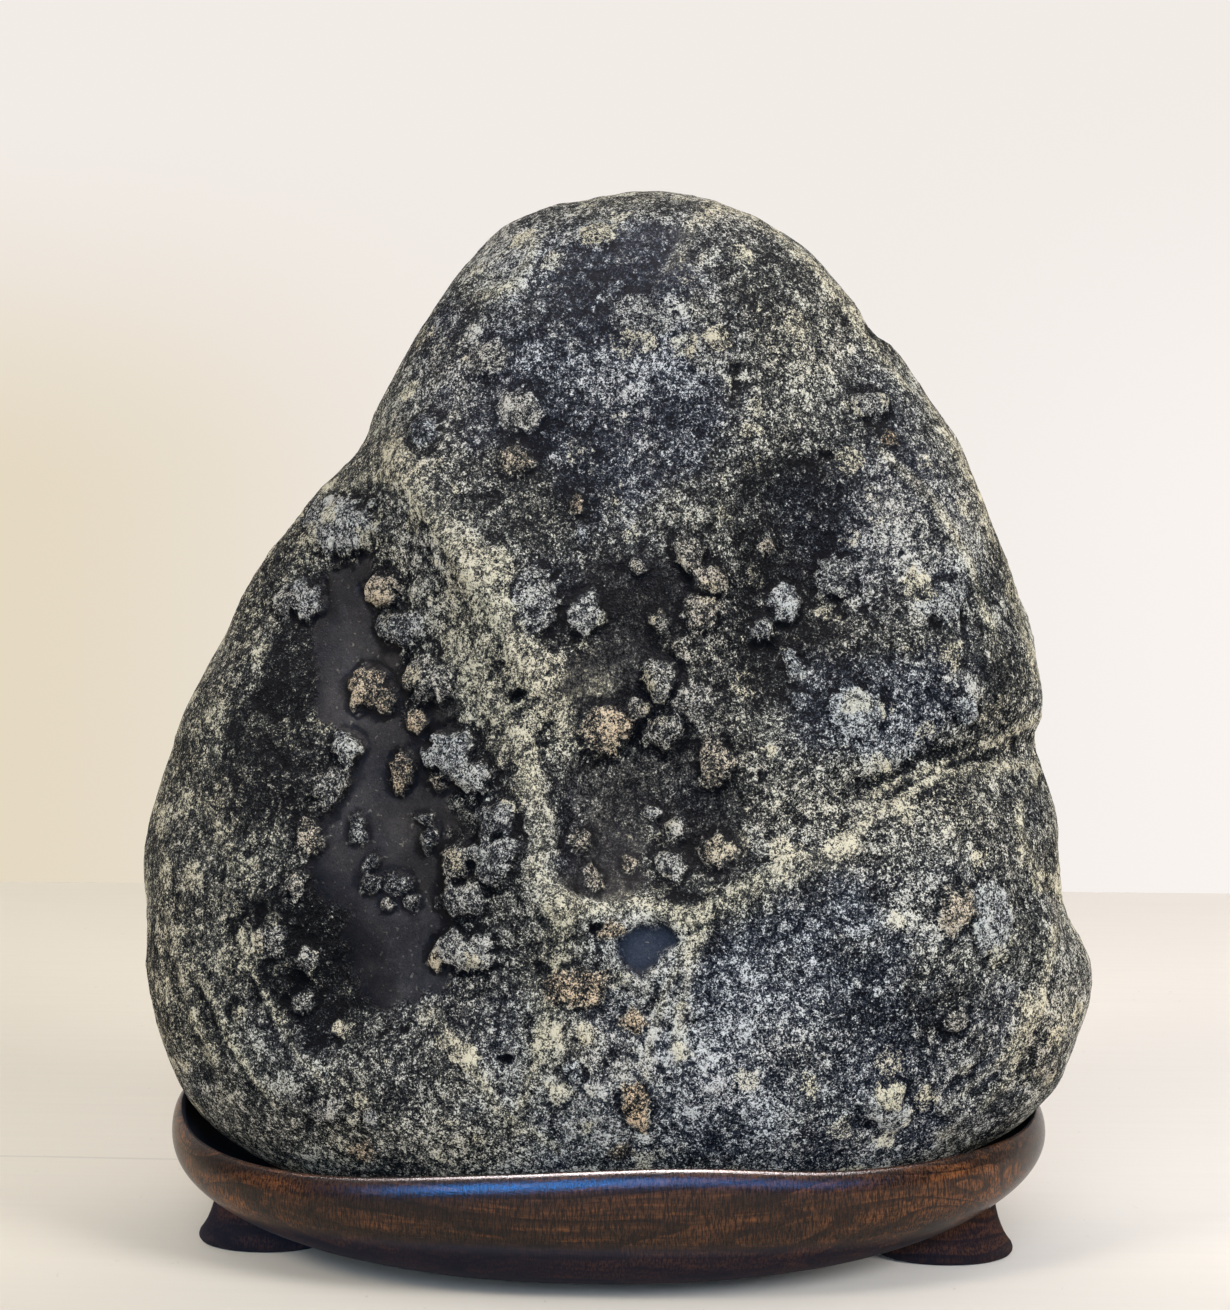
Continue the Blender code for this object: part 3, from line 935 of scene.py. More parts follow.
# %% Front: veins
FRONT_VEINS = {
    "spine, top": ([(392, 455), (438, 512), (480, 570)], 20, 1.0, 0.65),
    "spine, middle": ([(480, 570), (516, 640), (548, 692)], 25, 1.1, 0.97),
    "spine, crest": (
        [(405, 478), (432, 517), (468, 569), (500, 615), (514, 656), (545, 690)], 5, 0.5, 1.05,
    ),
    "spine, shoulder": ([(486, 590), (470, 660), (512, 740)], 28, 0.3, 0.65),
    "spine, right shoulder": ([(545, 690), (590, 690), (570, 725)], 22, 0.3, 0.6),
    "spine, low": ([(522, 742), (532, 790), (542, 830), (534, 870), (560, 905)], 15, 1.3, 1.02),
    "sill": ([(560, 905), (600, 912), (640, 903), (690, 918)], 11, 1.1, 0.9),
    "sill, right": ([(690, 918), (735, 900), (790, 876), (850, 850)], 10, 0.4, 0.3),
    "sill to the waist": (
        [(690, 918), (728, 896), (781, 863), (834, 846), (876, 817), (923, 784), (970, 768),
         (1036, 765)], 5, 0.6, 0.7,
    ),
    "fold over the waist": ([(876, 793), (917, 773), (958, 758), (994, 743), (1036, 717)], 4, 0.5, 0.6),
    "fold under the waist": (
        [(1036, 774), (1019, 800), (1017, 828), (1026, 860), (1054, 884)], 5, 0.4, 0.6,
    ),
    "below the sill": ([(560, 930), (545, 985), (560, 1040)], 26, 0.3, 0.3),
    "shard in the heart": ([(641, 946), (646, 956), (650, 970)], 2.5, 0.5, 0.9),
    "fan from the sill, right": ([(712, 915), (692, 960), (680, 1010), (678, 1060)], 6, 0.4, 0.5),
    "fan from the sill, middle": ([(700, 925), (668, 985), (650, 1040), (646, 1075)], 4, 0.4, 0.5),
    "fan from the spine": ([(566, 925), (552, 985), (540, 1050), (520, 1110)], 5, 0.4, 0.5),
    "low flow": ([(430, 1010), (470, 1060), (500, 1110), (560, 1150)], 5, 0.4, 0.5),
    "left flow, outer": ([(196, 960), (210, 993), (230, 1033), (253, 1073), (280, 1105)], 3.2, 0.5, 1.0),
    "left flow, middle": ([(205, 800), (232, 850), (262, 900), (290, 960)], 6, 0.3, 0.6),
    "left flow, inner": ([(240, 932), (260, 980), (275, 1014), (303, 1057), (325, 1080)], 3.2, 0.5, 1.1),
    "left edge flow": ([(168, 840), (172, 920), (190, 1000), (215, 1060)], 4, 0.3, 0.4),
    "right flow": ([(1052, 930), (1040, 1000), (1000, 1085), (940, 1135)], 6, 0.4, 0.6),
    "right inner flow": ([(1030, 1010), (1000, 1060), (960, 1090)], 4, 0.3, 0.6),
    "right edge seam": ([(925, 400), (975, 490), (1010, 590), (1035, 680)], 6, 0.4, 0.55),
    "right inner seam": ([(880, 450), (930, 500), (965, 560), (990, 640)], 5, 0.4, 0.5),
    "summit edge": (
        [(704, 208), (745, 216), (775, 234), (811, 268), (836, 299), (856, 324)], 7, 0.6, 1.3,
    ),
    "summit hook": ([(668, 270), (682, 252), (692, 228), (712, 214)], 7, 0.5, 1.2),
    "under the summit edge": ([(852, 326), (880, 360), (906, 392)], 5, 0.3, 0.8),
    "upper crack": ([(720, 334), (736, 368), (732, 405)], 5, -0.4, -0.35),
    "upper left curl": ([(534, 240), (530, 262), (514, 288), (480, 300)], 6, 0.5, 0.7),
    "left shoulder line": ([(330, 490), (372, 478), (412, 470)], 9, 0.4, 0.5),
}
print(len(FRONT_VEINS), "veins on the front")

# %% Front: cool and pale patches
COOL_PATCHES = {
    "summit": (610, 290, 90, 60, 0, 0.7),
    "upper centre": (600, 380, 130, 110, 0, 0.7),
    "low right": (800, 1050, 170, 130, 0, 0.6),
    "right slope": (880, 700, 80, 60, 0, 0.6),
    "low middle": (620, 1120, 130, 60, 0, 0.4),
    "low centre": (590, 1030, 110, 60, 0, 0.3),
    "right flowing": (890, 540, 90, 120, 20, 0.35),
    "low left": (260, 1060, 80, 80, 0, 0.3),
}
FRONT_PALE = {
    "summit, left": (506, 258, 46, 50, 30, 0.6),
    "summit, lens": (590, 233, 32, 16, 0, 0.6),
    "upper cluster": (672, 340, 66, 52, 20, 0.28),
    "right flowing, upper": (880, 520, 38, 60, 10, 0.32),
    "right flowing, lower": (940, 590, 34, 54, 20, 0.25),
    "right edge, upper": (965, 520, 30, 80, -20, 0.27),
    "right edge, middle": (1030, 690, 24, 80, -6, 0.35),
    "right slope": (930, 690, 70, 60, 20, 0.04),
    "mid slope": (880, 700, 60, 44, 20, 0.08),
    "low centre": (600, 1050, 150, 90, 0, 0.42),
    "under the heart": (600, 1020, 70, 50, 0, 0.2),
    "right lobe": (920, 920, 90, 110, 0, 0.38),
    "low left of centre": (470, 1090, 90, 60, 0, 0.2),
    "low right": (760, 1060, 90, 80, 0, 0.15),
    "tall right patch": (990, 915, 22, 40, 0, 0.6),
    "low right lump": (884, 1106, 24, 24, 0, 0.6),
    "sill slope": (800, 820, 60, 44, 30, 0.32),
    "right edge": (1062, 990, 26, 60, 0, 0.4),
    "left lobe": (230, 900, 60, 80, 0, 0.08),
    "middle hollow": (640, 710, 50, 90, 0, 0.14),
    "shoulder": (345, 530, 40, 34, 0, 0.4),
    "right of the trough": (440, 620, 50, 60, 0, 0.3),
}
print(len(COOL_PATCHES), "cool and", len(FRONT_PALE), "pale patches on the front")

# %% Creases and pits
EDGE_CREASES = {  # paths in mm that run over the stone's edge, half width and depth in mm
    "right waist": ([(40, -40, 84), (52, -37, 91), (64, -31, 95), (78, -16, 94), (85, 0, 92)], 3.6, 1.3),
    "waist, behind": ([(85, 0, 92), (84, 12, 88), (76, 28, 84)], 5.0, 1.3),
    "right foot lobe": ([(66, -30, 66), (76, -20, 66), (86, 0, 64), (84, 12, 62)], 4.4, 1.8),
    "upper right notch": ([(40, -18, 171), (46, -9, 172), (47, 4, 171)], 3.6, 0.9),
    "right shoulder": ([(66, -24, 118), (76, -10, 117), (79, 4, 116)], 5.0, 1.0),
    "left waist": ([(-62, -34, 62), (-76, -24, 60), (-89, 0, 59)], 5.0, 1.1),
    "left shoulder": ([(-40, -26, 148), (-48, -10, 149), (-52, 6, 148)], 6.0, 1.2),
    "left low": ([(-70, -32, 42), (-82, -18, 40), (-88, 0, 40)], 4.0, 0.8),
}
HEART_PIT = [
    (632, 927), (618, 936), (614, 950), (622, 966), (640, 979),
    (660, 962), (680, 940), (668, 923), (650, 921),
]
PITS = {  # an oval in dots and its depth in mm
    "eye in the spine": (517, 695, 11, 6, 10, 1.1),
    "curved slit": (728, 745, 4, 16, 35, 0.9),
    "ring pit": (826, 455, 9, 7, 0, 0.7),
    "notch by the heart": (596, 928, 8, 6, 0, 0.7),
    "small dark notch": (507, 1058, 10, 6, 0, 0.6),
}
print(len(EDGE_CREASES), "creases and", len(PITS) + 1, "pits")

# %% [markdown]
# Knobs are hard lumps that stood up while the softer rock wore away. After its oval, a knob has
# how far it stands out in mm, how pale it is and how tan it is, both from 0 to 1.

# %% Front: knobs
FRONT_KNOBS = {
    "tan button": (383, 591, 20, 19, 0, 2.5, 0.95, 0.6),
    "button's dark neighbour": (402, 628, 26, 20, 0, 1.6, 0.45, 0.1),
    "brown crust, left": (366, 688, 20, 22, -20, 1.8, 0.4, 0.7),
    "brown crust, right": (384, 700, 16, 16, 0, 1.6, 0.4, 0.7),
    "crust over the trough": (426, 680, 28, 22, 0, 1.5, 0.4, 0.25),
    "little tan eye": (417, 721, 12, 10, 20, 1.2, 0.75, 0.8),
    "brown oval": (402, 771, 14, 20, 0, 1.9, 0.4, 0.7),
    "great lump, left": (452, 756, 27, 30, 0, 2.7, 1.0, 0.05),
    "great lump, right": (476, 776, 21, 20, 0, 2.3, 0.9, 0.1),
    "hanging crumb": (436, 780, 8, 12, 0, 1.2, 0.35, 0.5),
    "trough's left knob": (349, 749, 16, 19, -20, 1.9, 0.75, 0.1),
    "trough's left crust": (331, 786, 16, 26, -14, 1.6, 0.42, 0.2),
    "shoulder knob": (308, 602, 18, 20, 20, 1.7, 0.8, 0.1),
    "far shoulder knob": (286, 606, 12, 16, 0, 1.2, 0.5, 0.2),
    "shoulder lump": (342, 528, 36, 30, 20, 1.6, 0.75, 0.1),
    "knob beside the spine": (585, 611, 18, 21, 0, 1.6, 0.8, 0.1),
    "spine's pale lump": (536, 600, 24, 34, 0, 1.2, 0.6, 0.1),
    "bead above the hollow": (639, 567, 11, 8, 0, 1.2, 0.7, 0.3),
    "ring of brown crust": (604, 730, 26, 27, 10, 1.7, 0.45, 0.7),
    "brown crust's arm": (622, 724, 14, 12, 0, 1.5, 0.4, 0.8),
    "ridge knob, top": (690, 555, 14, 22, 10, 1.5, 0.55, 0.3),
    "ridge knob, eye": (710, 580, 20, 16, 0, 1.7, 0.5, 0.4),
    "ridge knob, bead": (662, 622, 11, 12, 0, 1.4, 0.6, 0.25),
    "ridge crumbs": (700, 612, 18, 22, 0, 1.2, 0.45, 0.35),
    "ridge knob, middle": (682, 646, 10, 12, 0, 1.2, 0.55, 0.3),
    "ridge lump, left": (660, 682, 16, 22, 0, 1.9, 0.6, 0.2),
    "ridge lump, right": (690, 700, 18, 20, 0, 1.4, 0.5, 0.2),
    "ridge lump, low": (664, 730, 22, 20, 20, 1.9, 0.55, 0.2),
    "ridge lump, tail": (640, 708, 14, 12, 0, 1.5, 0.5, 0.3),
    "slit's knob": (716, 762, 18, 24, 0, 1.3, 0.45, 0.45),
    "slope beads, left": (652, 812, 9, 7, 0, 0.9, 0.8, 0.1),
    "slope beads, right": (675, 828, 11, 14, 0, 1.1, 0.65, 0.2),
    "round knob": (716, 852, 21, 20, 0, 1.4, 0.35, 0.35),
    "round knob's neighbour": (673, 866, 17, 16, 0, 1.5, 0.6, 0.15),
    "hollow's bead, upper": (579, 840, 12, 11, 0, 1.0, 0.6, 0.4),
    "hollow's bead, lower": (592, 880, 11, 14, 20, 1.3, 0.6, 0.45),
    "hollow's foot crumb": (630, 866, 9, 10, 0, 0.9, 0.5, 0.5),
    "trough's right knob": (500, 820, 20, 22, 0, 1.7, 0.5, 0.1),
    "trough's right lump": (496, 860, 26, 24, 0, 1.7, 0.6, 0.1),
    "trough's right crust": (458, 862, 16, 24, 0, 1.5, 0.38, 0.25),
    "small dark nut": (430, 838, 8, 14, -20, 1.2, 0.15, 0.1),
    "crumbs, upper": (424, 818, 9, 6, 0, 0.7, 0.2, 0.1),
    "trough's cluster, left": (372, 882, 14, 10, 0, 1.2, 0.3, 0.15),
    "trough's cluster, middle": (398, 884, 16, 12, 0, 1.4, 0.35, 0.1),
    "trough's cluster, right": (412, 902, 10, 8, 0, 1.1, 0.45, 0.2),
    "trough's cluster, low": (388, 904, 8, 7, 0, 1.0, 0.5, 0.25),
    "cluster's upper crumb": (372, 862, 9, 9, 0, 0.9, 0.3, 0.1),
    "cluster's far crumb": (358, 830, 9, 16, 0, 0.9, 0.25, 0.1),
    "loaf, crown": (462, 900, 26, 20, 0, 1.7, 0.65, 0.15),
    "loaf": (466, 950, 35, 20, -6, 2.2, 0.9, 0.15),
    "loaf's shell": (438, 958, 8, 12, 0, 1.6, 0.8, 0.5),
    "left pair, upper": (296, 884, 9, 13, 0, 1.4, 0.55, 0.3),
    "left pair, middle": (308, 958, 11, 13, 0, 1.5, 0.45, 0.2),
    "left pair, lower": (304, 1000, 12, 12, 0, 1.3, 0.5, 0.2),
    "left crust, upper": (310, 836, 14, 20, 0, 1.2, 0.4, 0.45),
    "left crust, lower": (268, 938, 18, 20, 0, 0.9, 0.5, 0.2),
    "low bead, left": (338, 1027, 8, 9, 0, 0.9, 0.5, 0.2),
    "low ring": (330, 1108, 22, 12, 20, 0.9, 0.55, 0.2),
    "low brown eye": (362, 1152, 14, 10, 0, 0.8, 0.5, 0.8),
    "low spike": (372, 1120, 10, 14, 10, 0.9, 0.7, 0.1),
    "tan patch": (576, 988, 32, 24, 0, 0.9, 0.4, 0.8),
    "heart's left lip": (610, 930, 16, 8, 10, 0.9, 0.45, 0.7),
    "pink bead": (634, 1023, 12, 12, 0, 1.1, 0.6, 0.85),
    "golden crust": (638, 1106, 15, 23, 12, 1.3, 0.6, 1.0),
    "low golden bead": (622, 1152, 14, 9, 0, 0.8, 0.5, 0.6),
    "glass eye": (574, 1073, 10, 14, 0, 0.9, 0.4, 0.0),
    "right tan knob": (957, 912, 19, 23, 0, 1.7, 0.85, 0.5),
    "right tall lump": (990, 916, 21, 40, 0, 1.2, 1.0, 0.05),
    "low right knob": (885, 1107, 25, 24, 0, 1.6, 1.0, 0.05),
    "low right loaf": (960, 1112, 34, 16, -30, 0.9, 0.6, 0.1),
    "right low bead": (955, 1020, 11, 14, -30, 1.2, 0.65, 0.25),
    "right low patch": (958, 1056, 22, 18, 0, 0.7, 0.6, 0.1),
    "edge pale knob": (1042, 1060, 14, 18, 0, 1.0, 0.6, 0.3),
    "edge loaf": (870, 405, 22, 11, -6, 1.6, 0.75, 0.15),
    "edge rust crumb": (888, 440, 9, 10, 0, 0.8, 0.4, 1.0),
    "slope dome, upper": (834, 577, 22, 20, 0, 1.4, 0.65, 0.1),
    "slope dome, middle": (786, 604, 16, 18, 0, 1.5, 0.75, 0.05),
    "slope dome, lower": (762, 628, 14, 13, 0, 1.4, 0.7, 0.1),
    "slope dome, right": (858, 712, 30, 26, 0, 1.2, 0.75, 0.0),
    "far slope dome": (942, 600, 24, 22, 0, 1.3, 0.7, 0.05),
    "slope bead, left": (792, 664, 9, 16, 20, 1.0, 0.85, 0.0),
    "slope bead, low": (800, 700, 8, 8, 0, 0.9, 0.85, 0.0),
    "slope knob, low": (962, 710, 15, 16, 0, 1.2, 0.75, 0.0),
    "upper ring": (490, 360, 24, 18, 20, 1.0, 0.6, 0.2),
    "upper ring's neighbour": (522, 410, 26, 22, 0, 1.3, 0.65, 0.2),
    "dark tan eye": (515, 460, 18, 15, 0, 1.3, 0.5, 0.55),
    "shoulder's glass knob": (424, 432, 14, 19, 10, 1.3, 0.45, 0.0),
    "orange bead": (576, 505, 6, 9, 0, 0.9, 0.5, 0.9),
    "glass bead": (583, 532, 8, 13, 0, 1.0, 0.45, 0.0),
    "upper cluster, left": (640, 320, 34, 28, 0, 0.8, 0.5, 0.1),
    "upper cluster, right": (712, 352, 26, 30, 0, 0.9, 0.5, 0.15),
    "upper right crumbs": (764, 546, 11, 9, 0, 0.9, 0.5, 0.4),
    "top edge lens": (588, 236, 32, 15, -4, 0.9, 0.45, 0.1),
}
print(len(FRONT_KNOBS), "knobs on the front")

# %% [markdown]
# ## The stone: the back
#
# The back is in the same style but plainer: a hollow down the middle, two pockets, a forked vein
# and a scatter of knobs whose places, sizes and tints are drawn at random from a fixed seed.

# %% Back: floors, veins and scattered knobs
BACK_FLOORS = {
    "back hollow, upper": (700, 500, 60, 92, 18, 0.9),
    "back hollow, middle": (668, 640, 72, 84, -10, 1.0),
    "back hollow, lower": (716, 760, 58, 62, 20, 0.8),
    "back pocket": (408, 760, 56, 96, -20, 0.9),
    "back low pocket": (868, 960, 70, 44, 10, 0.7),
}
BACK_DARK = {
    "below the hollow": (760, 850, 90, 60, 0, 0.5),
    "beside the pocket": (330, 900, 60, 80, 0, 0.5),
    "under the top": (600, 320, 80, 60, 0, 0.4),
    "low on the right": (980, 840, 60, 90, 0, 0.4),
}
BACK_ROUGH = {
    "round the hollow": (690, 640, 170, 260, 0, 1.0),
    "round the pocket": (408, 770, 130, 180, 0, 1.0),
    "low": (760, 1000, 180, 90, 0, 0.8),
}
BACK_VEINS = {
    "back spine, upper": ([(590, 250), (560, 380), (572, 500)], 16, 0.8, 0.6),
    "back spine, lower": ([(572, 500), (546, 660), (566, 800), (640, 890)], 22, 1.0, 0.75),
    "back sill": ([(640, 890), (760, 876), (880, 824), (1000, 800)], 11, 0.6, 0.7),
    "back fork": ([(566, 800), (500, 900), (420, 980), (300, 1020)], 10, 0.5, 0.6),
    "back flow": ([(250, 640), (230, 780), (236, 900), (290, 1060)], 6, 0.4, 0.7),
}
BACK_PALE = {
    "back top": (640, 250, 70, 40, 0, 0.35),
    "back slope": (860, 620, 70, 110, -20, 0.35),
    "back left slope": (300, 620, 60, 100, 20, 0.3),
    "back low middle": (560, 1040, 150, 70, 0, 0.35),
}
BACK_KNOB_COUNT = 64


def scatter_knobs(count, seed):
    picker = np.random.default_rng(seed)
    knobs = {}
    for number in range(count):
        across, down = picker.normal((640, 720), (170, 200))
        half = picker.uniform(9, 24)
        flat, turn = picker.uniform(0.7, 1.1), picker.uniform(-40, 40)
        rise, paleness = picker.uniform(0.9, 2.0), picker.uniform(0.35, 0.75)
        tint = picker.choice((0.1, 0.2, 0.4, 0.8))
        knobs[f"back knob {number}"] = (across, down, half, half * flat, turn, rise, paleness, tint)
    return knobs


BACK_KNOBS = scatter_knobs(BACK_KNOB_COUNT, seed=19)
print(len(BACK_KNOBS), "knobs scattered on the back")

# %% [markdown]
# ## The stone: carving
#
# The relief is worked out as one height per point, `rise`, in millimetres along the surface
# normal. Beside it goes how pale each point is and how tan or cream. First a crust of cobbles and
# soft unevenness covers everything. The polished floors cut it away along a ragged edge, so
# islands of crust are left standing.

# %% Noise that several steps share
warped = pushed_about(stone_points, 1.1, 6.0, (31, 37, 41))
ragged = layered_noise(warped, 6.5, 4, 3, gain=0.6)
coarse = layered_noise(stone_points, 26.0, 3, 11)
lobes = layered_noise(stone_points, 3.4, 3, 43, gain=0.6)
cobbles = 0.5 - cobble_noise(warped, 4.2, 5)
gravel = 0.5 - cobble_noise(warped, 2.2, 9)


def inside(front_ovals, back_ovals, edge, raggedness=0.30):
    """How much each point belongs to any of the ovals, with a ragged edge."""
    share = np.zeros(len(stone_points))
    for view, (*oval_shape, most) in on_both_sides(front_ovals, back_ovals):
        reach = from_oval(view, oval_shape, ragged * raggedness)
        here = most * ramp(reach, 1.0 + edge, 1.0 - edge) * view["facing"]
        share = np.maximum(share, here)
    return share


print("raggedness from", round(ragged.min(), 2), "to", round(ragged.max(), 2))

# %% Crust and polished floors
CRUST_RISE = 0.9
COBBLE_RISE, GRAVEL_RISE, GRIT_RISE = 0.75, 0.42, 0.30
SWELL, RIPPLE = 0.55, 0.03
PALENESS, PALENESS_SPREAD = 0.47, 0.34

bare = inside(FRONT_FLOORS, BACK_FLOORS, edge=0.12)
polish = ramp(bare, 0.1, 0.9)
crusted = 1.0 - polish
dark_patch = inside(FRONT_DARK, BACK_DARK, edge=0.35)
rough_ground = inside(FRONT_ROUGH, BACK_ROUGH, edge=0.45)
roughness_map = 0.16 + 0.12 * ramp(coarse, -0.3, 0.4) + 0.72 * rough_ground
rise = CRUST_RISE * crusted * (0.45 + 0.3 * coarse)
rise += crusted * roughness_map * (COBBLE_RISE * cobbles + GRAVEL_RISE * gravel)
rise += crusted * roughness_map * GRIT_RISE * smooth_noise(stone_points, 1.6, 15)
rise += SWELL * layered_noise(stone_points, 15.0, 2, 21) + RIPPLE * smooth_noise(stone_points, 3.0, 25)
pale = PALENESS + PALENESS_SPREAD * layered_noise(warped, 13.0, 3, 61) - 1.2 * dark_patch
pale -= 0.5 * inside(FRONT_FLOORS, BACK_FLOORS, edge=0.5, raggedness=0.5) * crusted
tan = 0.10 + 0.10 * layered_noise(stone_points, 18.0, 2, 71)
cream = 0.62 + 0.30 * layered_noise(stone_points, 20.0, 2, 81)
# Creamier towards the left: a painted warm tint of the lamp light from the left.
cream += 0.3 * ramp(stone_points[:, 0], -35.0, -70.0)
cream -= inside(COOL_PATCHES, {}, edge=0.5)
print("polished share:", round(float(np.mean(polish)), 3))

# %% [markdown]
# Pale lumps of older rock, two to three millimetres across, are scattered through the crust.
# Veins are soft-edged lines of rock that stand a little proud; how near a point is to a vein is
# also kept as `fibre`, because the crystals there are drawn out along it.

# %% Clasts and veins
CLAST_RISE, CLAST_PALENESS = 0.30, 0.52

large_clasts = scattered_lumps(warped, 10.0, (0.14, 0.34), 0.4 * lobes, 91)
small_clasts = scattered_lumps(warped, 5.2, (0.14, 0.32), 0.35 * lobes, 97)
clasts = np.maximum(large_clasts, small_clasts) * crusted
clasts *= 1.0 - 0.7 * ramp(dark_patch, 0.1, 0.6)
rise += CLAST_RISE * clasts * (0.5 + 0.5 * rough_ground)
pale += CLAST_PALENESS * clasts * (0.8 + ragged)
fibre = inside(FRONT_FLOWING, {}, edge=0.5) * (1.0 - 0.6 * clasts)
for view, (path, half_width, ridge, paleness) in on_both_sides(FRONT_VEINS, BACK_VEINS):
    near = from_path(view["dots"], path) * (1.0 + 0.35 * ragged)
    share = bell(near, half_width) * view["facing"]
    fibre = np.maximum(fibre, share)
    rise += ridge * share
    pale += paleness * share * (0.75 + 0.5 * ragged)
    cream = cream + 0.5 * share
for view, (*oval_shape, paleness) in on_both_sides(FRONT_PALE, BACK_PALE):
    reach = from_oval(view, oval_shape, 0.45 * ragged)
    pale += paleness * ramp(reach, 1.2, 0.5) * view["facing"]
print("clast share:", round(float(np.mean(clasts)), 3))

# %% [markdown]
# A knob is a low dome with a gravelly skin and an edge broken by smaller lobes. Where it stands
# on a polished floor it has a worn ring round it, and the ring is painted darker as shade. It
# replaces what is under it, so the knobs that come later in the list lie over the earlier ones.

# %% Knobs
KNOB_GRAVEL, KNOB_LOBES = 0.60, 0.30
MOAT_PLACE, MOAT_WIDTH, MOAT_DEPTH = 1.16, 0.13, 0.22

knob_share = np.zeros(len(stone_points))
for view, (*oval_shape, knob_rise, paleness, tint) in on_both_sides(FRONT_KNOBS, BACK_KNOBS):
    reach = from_oval(view, oval_shape, 0.34 * lobes + 0.16 * gravel + 0.06)
    body = ramp(reach, 1.08, 0.86) * view["facing"]
    dome = np.clip(1.0 - reach**2, 0.0, 1.0)
    level = 0.65 * knob_rise + 0.50 * knob_rise * dome + KNOB_GRAVEL * gravel + KNOB_LOBES * lobes
    moat = bell(reach - MOAT_PLACE, MOAT_WIDTH) * view["facing"]
    moat *= 0.35 + 0.65 * polish
    rise = mixed(rise, level + 0.35 * rise, body) - MOAT_DEPTH * knob_rise * moat
    # The ring round the knob is painted darker: painted shade.
    pale = mixed(pale, 0.36 + 0.75 * paleness + 0.8 * gravel, body) - 0.30 * moat
    tan = mixed(tan, tint, body)
    cream = mixed(cream, 0.2 + tint, body)
    knob_share = np.maximum(knob_share, body)
print("knob share:", round(float(np.mean(knob_share)), 3))

# %% [markdown]
# Last come the things that are cut in: creases that run over the stone's edge, so they show in
# its outline, the heart-shaped pit with its raised pale lip and plain floor, and a few small
# pits. The foot of the stone stays plain where it sits in the wood.

# %% Creases and pits
HEART_DEPTH = 1.2
HEART_PALENESS = 0.8
LIP_WIDTH, LIP_RISE = 5.0, 0.5
FOOT_FADE = (25.0, 32.0)

wandering = pushed_about(stone_points, 5.0, 22.0, (101, 103, 107))
for path, half_width, depth in EDGE_CREASES.values():
    near = from_path(wandering, path) * (1.0 + 0.4 * ragged)
    rise -= depth * bell(near, half_width)
heart_reach = from_path(FRONT["dots"], [*HEART_PIT, HEART_PIT[0]])
heart_reach = np.where(inside_outline(FRONT, HEART_PIT), -heart_reach, heart_reach)
heart = ramp(heart_reach, 0.5, -2.5) * FRONT["facing"]
heart_lip = bell(heart_reach - LIP_WIDTH, LIP_WIDTH) * FRONT["facing"]
rise = mixed(rise, -HEART_DEPTH, heart) + LIP_RISE * heart_lip
pale = mixed(pale + LIP_RISE * heart_lip, HEART_PALENESS, heart)
bare = np.maximum(bare * (1.0 - knob_share), heart)
# The heart's floor takes the navy hue: its own dark colour with a painted bluish reflection of the
# window light.
cream = cream * (1.0 - heart)
for *oval_shape, depth in PITS.values():
    reach = from_oval(FRONT, oval_shape, 0.1 * ragged)
    share = ramp(reach, 1.1, 0.6) * FRONT["facing"]
    rise -= depth * share
    pale = pale * (1.0 - share) + 0.35 * bell(reach - 1.35, 0.2)
rise *= ramp(stone_points[:, 2], *FOOT_FADE)
carved = stone_points + stone_normals * rise[:, None]
stone.data.vertices.foreach_set("co", (carved * MM).astype(np.float32).ravel())
print("relief from", round(rise.min(), 2), "to", round(rise.max(), 2), "mm")

# %% [markdown]
# ## The stone: what the finish needs to know
#
# The low places are painted darker, as the shade that settles in them. Comparing each point's
# height with the average of its surroundings finds them; the averages are taken along the mesh's
# own edges, a few rounds of it for a wider look around. Towards the stone's edges, most on the
# right, the surface is painted paler: partly paler rock, partly a painted sheen of light grazing
# the edge. These numbers are stored on the mesh's points, and the material reads them back.

# %% Find the crevices and store the maps
SMOOTHING_ROUNDS = 9
EDGE_SHEEN_AND_PALENESS = 0.42


def neighbourhood_mean(values, rounds):
    a, b = stone_edges.T
    counts = np.bincount(a, minlength=len(values)) + np.bincount(b, minlength=len(values))
    for _ in range(rounds):
        total = np.bincount(a, values[b], len(values)) + np.bincount(b, values[a], len(values))
        values = 0.5 * values + 0.5 * total / counts
    return values


# Lower than the surroundings means darker: this map is painted shade.
crevice_shade = (neighbourhood_mean(rise, SMOOTHING_ROUNDS) - rise) * (1.0 - 0.85 * heart)
# Paler towards the edges, most on the right: partly paler rock, partly a painted sheen of light grazing
# the edge.
edge_sheen_and_paleness = ramp(FRONT["facing"], 1.0, 0.35) * ramp(stone_normals[:, 1], 0.45, -0.05)
edge_sheen_and_paleness *= 0.45 + 0.55 * ramp(stone_points[:, 0], -50.0, 30.0)
worn = 1.0 + 1.5 * layered_noise(stone_points, 9.0, 2, 87)
pale += EDGE_SHEEN_AND_PALENESS * edge_sheen_and_paleness * (1.0 - bare) * worn
MAPS = {
    "bare": bare,
    "fibre": fibre * (1.0 - knob_share),
    "rough": np.maximum(roughness_map, knob_share),
    "knob": np.maximum(knob_share, 0.6 * clasts),
    "pale": np.clip(pale, -0.5, 1.0),
    "tan": np.clip(tan, 0.0, 1.0),
    "cream": np.clip(cream, 0.0, 1.0),
    "crevice_shade": crevice_shade,
}
for map_name, values in MAPS.items():
    layer = stone.data.attributes.new(map_name, "FLOAT", "POINT")
    layer.data.foreach_set("value", values.astype(np.float32))
stone.data.update()
print("crevice from", round(crevice_shade.min(), 2), "to", round(crevice_shade.max(), 2), "mm")

